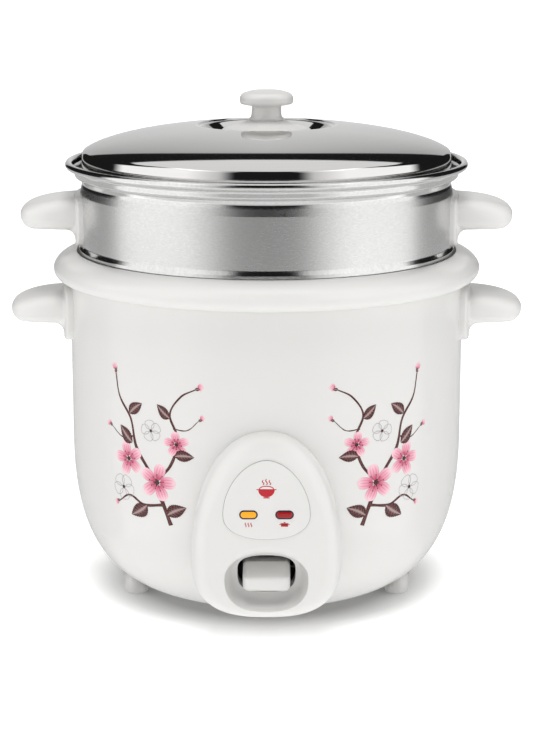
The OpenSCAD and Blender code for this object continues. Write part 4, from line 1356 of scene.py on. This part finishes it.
# %% Surround
world = bpy.data.worlds.new("studio")
bpy.context.scene.world = world
world.use_nodes = True
tree = world.node_tree
tree.nodes.clear()
toward = tree.nodes.new("ShaderNodeSeparateXYZ")
tree.links.new(tree.nodes.new("ShaderNodeTexCoord").outputs["Generated"], toward.inputs[0])
east, north, up = toward.outputs
DEGREES = 180 / np.pi  # degrees in a radian
azimuth = maths(tree, "ABSOLUTE", maths(tree, "ARCTAN2", east, product(tree, north, -1.0)))
azimuth = product(tree, azimuth, DEGREES)
elevation = product(tree, maths(tree, "ARCSINE", up), DEGREES)


def soft_mask(value, low, high, soft):
    """1 between low and high, falling smoothly to 0 over soft at both ends."""
    rise = spread(tree, value, low - soft / 2, low + soft / 2, smooth=True)
    fall = spread(tree, value, high - soft / 2, high + soft / 2, 1.0, 0.0, smooth=True)
    return product(tree, rise, fall)


print("surround reads a direction as azimuth and elevation")

# %% [markdown]
# The backdrop is an ellipse of light behind the cooker that fades upwards and sideways. The side panels
# make the bright flanks of the steamer, the overhead panel is flat on a ceiling and lights the dome, and the
# bench is a dim strip below the horizon.

# %% Panels of the surround
off = product(tree, maths(tree, "SUBTRACT", 180.0, azimuth), 1 / 21)
rise = product(tree, maths(tree, "SUBTRACT", elevation, 10.0), 1 / 25)
distance = maths(tree, "SQRT", maths(tree, "ADD", product(tree, off, off), product(tree, rise, rise)))
upward = spread(tree, elevation, 12.0, 36.0, 0.74, 0.52)
sideways = spread(tree, off, 0.0, 0.7, 1.0, 0.70)
backdrop = product(tree, soft_mask(distance, -1.0, 1.0, 0.05), upward, sideways)
side_glow = spread(tree, azimuth, 22.0, 50.0, 0.50, 1.15)
side_mask = product(tree, soft_mask(azimuth, 24.0, 103.0, 12.0), soft_mask(elevation, -33.0, 62.0, 8.0))
side_panels = product(tree, side_mask, side_glow)
flat_x, flat_y = (maths(tree, "DIVIDE", way, maths(tree, "MAXIMUM", up, 0.02)) for way in (east, north))
overhead_mask = product(tree, soft_mask(flat_x, -0.62, 0.62, 0.05), soft_mask(flat_y, -0.33, 1.02, 0.06))
overhead_panel = product(tree, overhead_mask, 0.82)
below = product(tree, soft_mask(elevation, -100.0, -30.0, 10.0), 0.85)
bench = product(tree, soft_mask(elevation, -34.0, -6.0, 4.0), 0.54)
DARKNESS = 0.012
light = backdrop
for panel_light in (side_panels, overhead_panel, below):
    light = maths(tree, "ADD", light, panel_light)
light = maths(tree, "MAXIMUM", light, maths(tree, "ADD", bench, DARKNESS))
print("five panels:", "backdrop, sides, overhead, below and bench")

# %% [markdown]
# Only mirrors see the panels. The camera sees plain white, and matt surfaces get a soft even fill, so the
# three kinds of ray are told apart with the light path.

# %% Who sees what
mirrored = add_node(tree, "ShaderNodeBackground", Color=light, Strength=1.0)
ray = tree.nodes.new("ShaderNodeLightPath")
seen = add_node(tree, "ShaderNodeBackground", Color=(1.0, 1.0, 1.0, 1.0), Strength=1.05)
soft = add_node(tree, "ShaderNodeBackground", Color=(1.0, 1.0, 1.0, 1.0), Strength=0.36)


def mix_shaders(factor, a, b):
    """Shows shader b where the factor is 1 and shader a elsewhere."""
    made = add_node(tree, "ShaderNodeMixShader", Fac=factor)
    feed(tree, made.inputs[1], a)
    feed(tree, made.inputs[2], b)
    return made.outputs[0]


unseen = mix_shaders(ray.outputs["Is Glossy Ray"], soft.outputs[0], mirrored.outputs[0])
shown = mix_shaders(ray.outputs["Is Camera Ray"], unseen, seen.outputs[0])
add_node(tree, "ShaderNodeOutputWorld", Surface=shown)
print("world:", len(tree.nodes), "nodes")


# %% [markdown]
# **Lamps.** Wide soft boxes in front and at both sides give the plastic its even white, and a broad sun from
# above shades the undersides. All of them stay out of the mirrors, where the surround takes over.

# %% Lamps
def aim(thing, place, target):
    """Puts a lamp at place, facing target along its own -Z."""
    thing.location = place
    thing.rotation_euler = (Vector(target) - Vector(place)).to_track_quat("-Z", "Y").to_euler()


def softbox(name, width, height, power, place, target=(0.0, 0.0, 0.15)):
    """A rectangular lamp that lights the plastic and stays out of the mirrors."""
    lamp = bpy.data.lights.new(name, "AREA")
    lamp.shape = "RECTANGLE"
    lamp.size = width
    lamp.size_y = height
    lamp.energy = power
    made = add_object(name, lamp)
    aim(made, place, target)
    made.visible_glossy = False
    return made


softbox("key_softbox", 1.8, 0.7, 5.8, (0.0, -2.1, 0.85))
for side, word in ((-1, "left"), (1, "right")):
    softbox(f"{word}_strip", 0.5, 1.2, 2.7, (1.3 * side, -0.9, 0.65))
    softbox(f"{word}_rim", 0.5, 1.0, 2.0, (1.4 * side, 0.2, 0.6))
sun = bpy.data.lights.new("overhead_sun", "SUN")
sun.energy = 2.0
sun.angle = np.radians(35)
overhead = add_object("overhead_sun", sun)
aim(overhead, (0.0, -0.3, 2.0), (0.0, 0.0, 0.0))
overhead.visible_glossy = False
print("lights and stage ready")
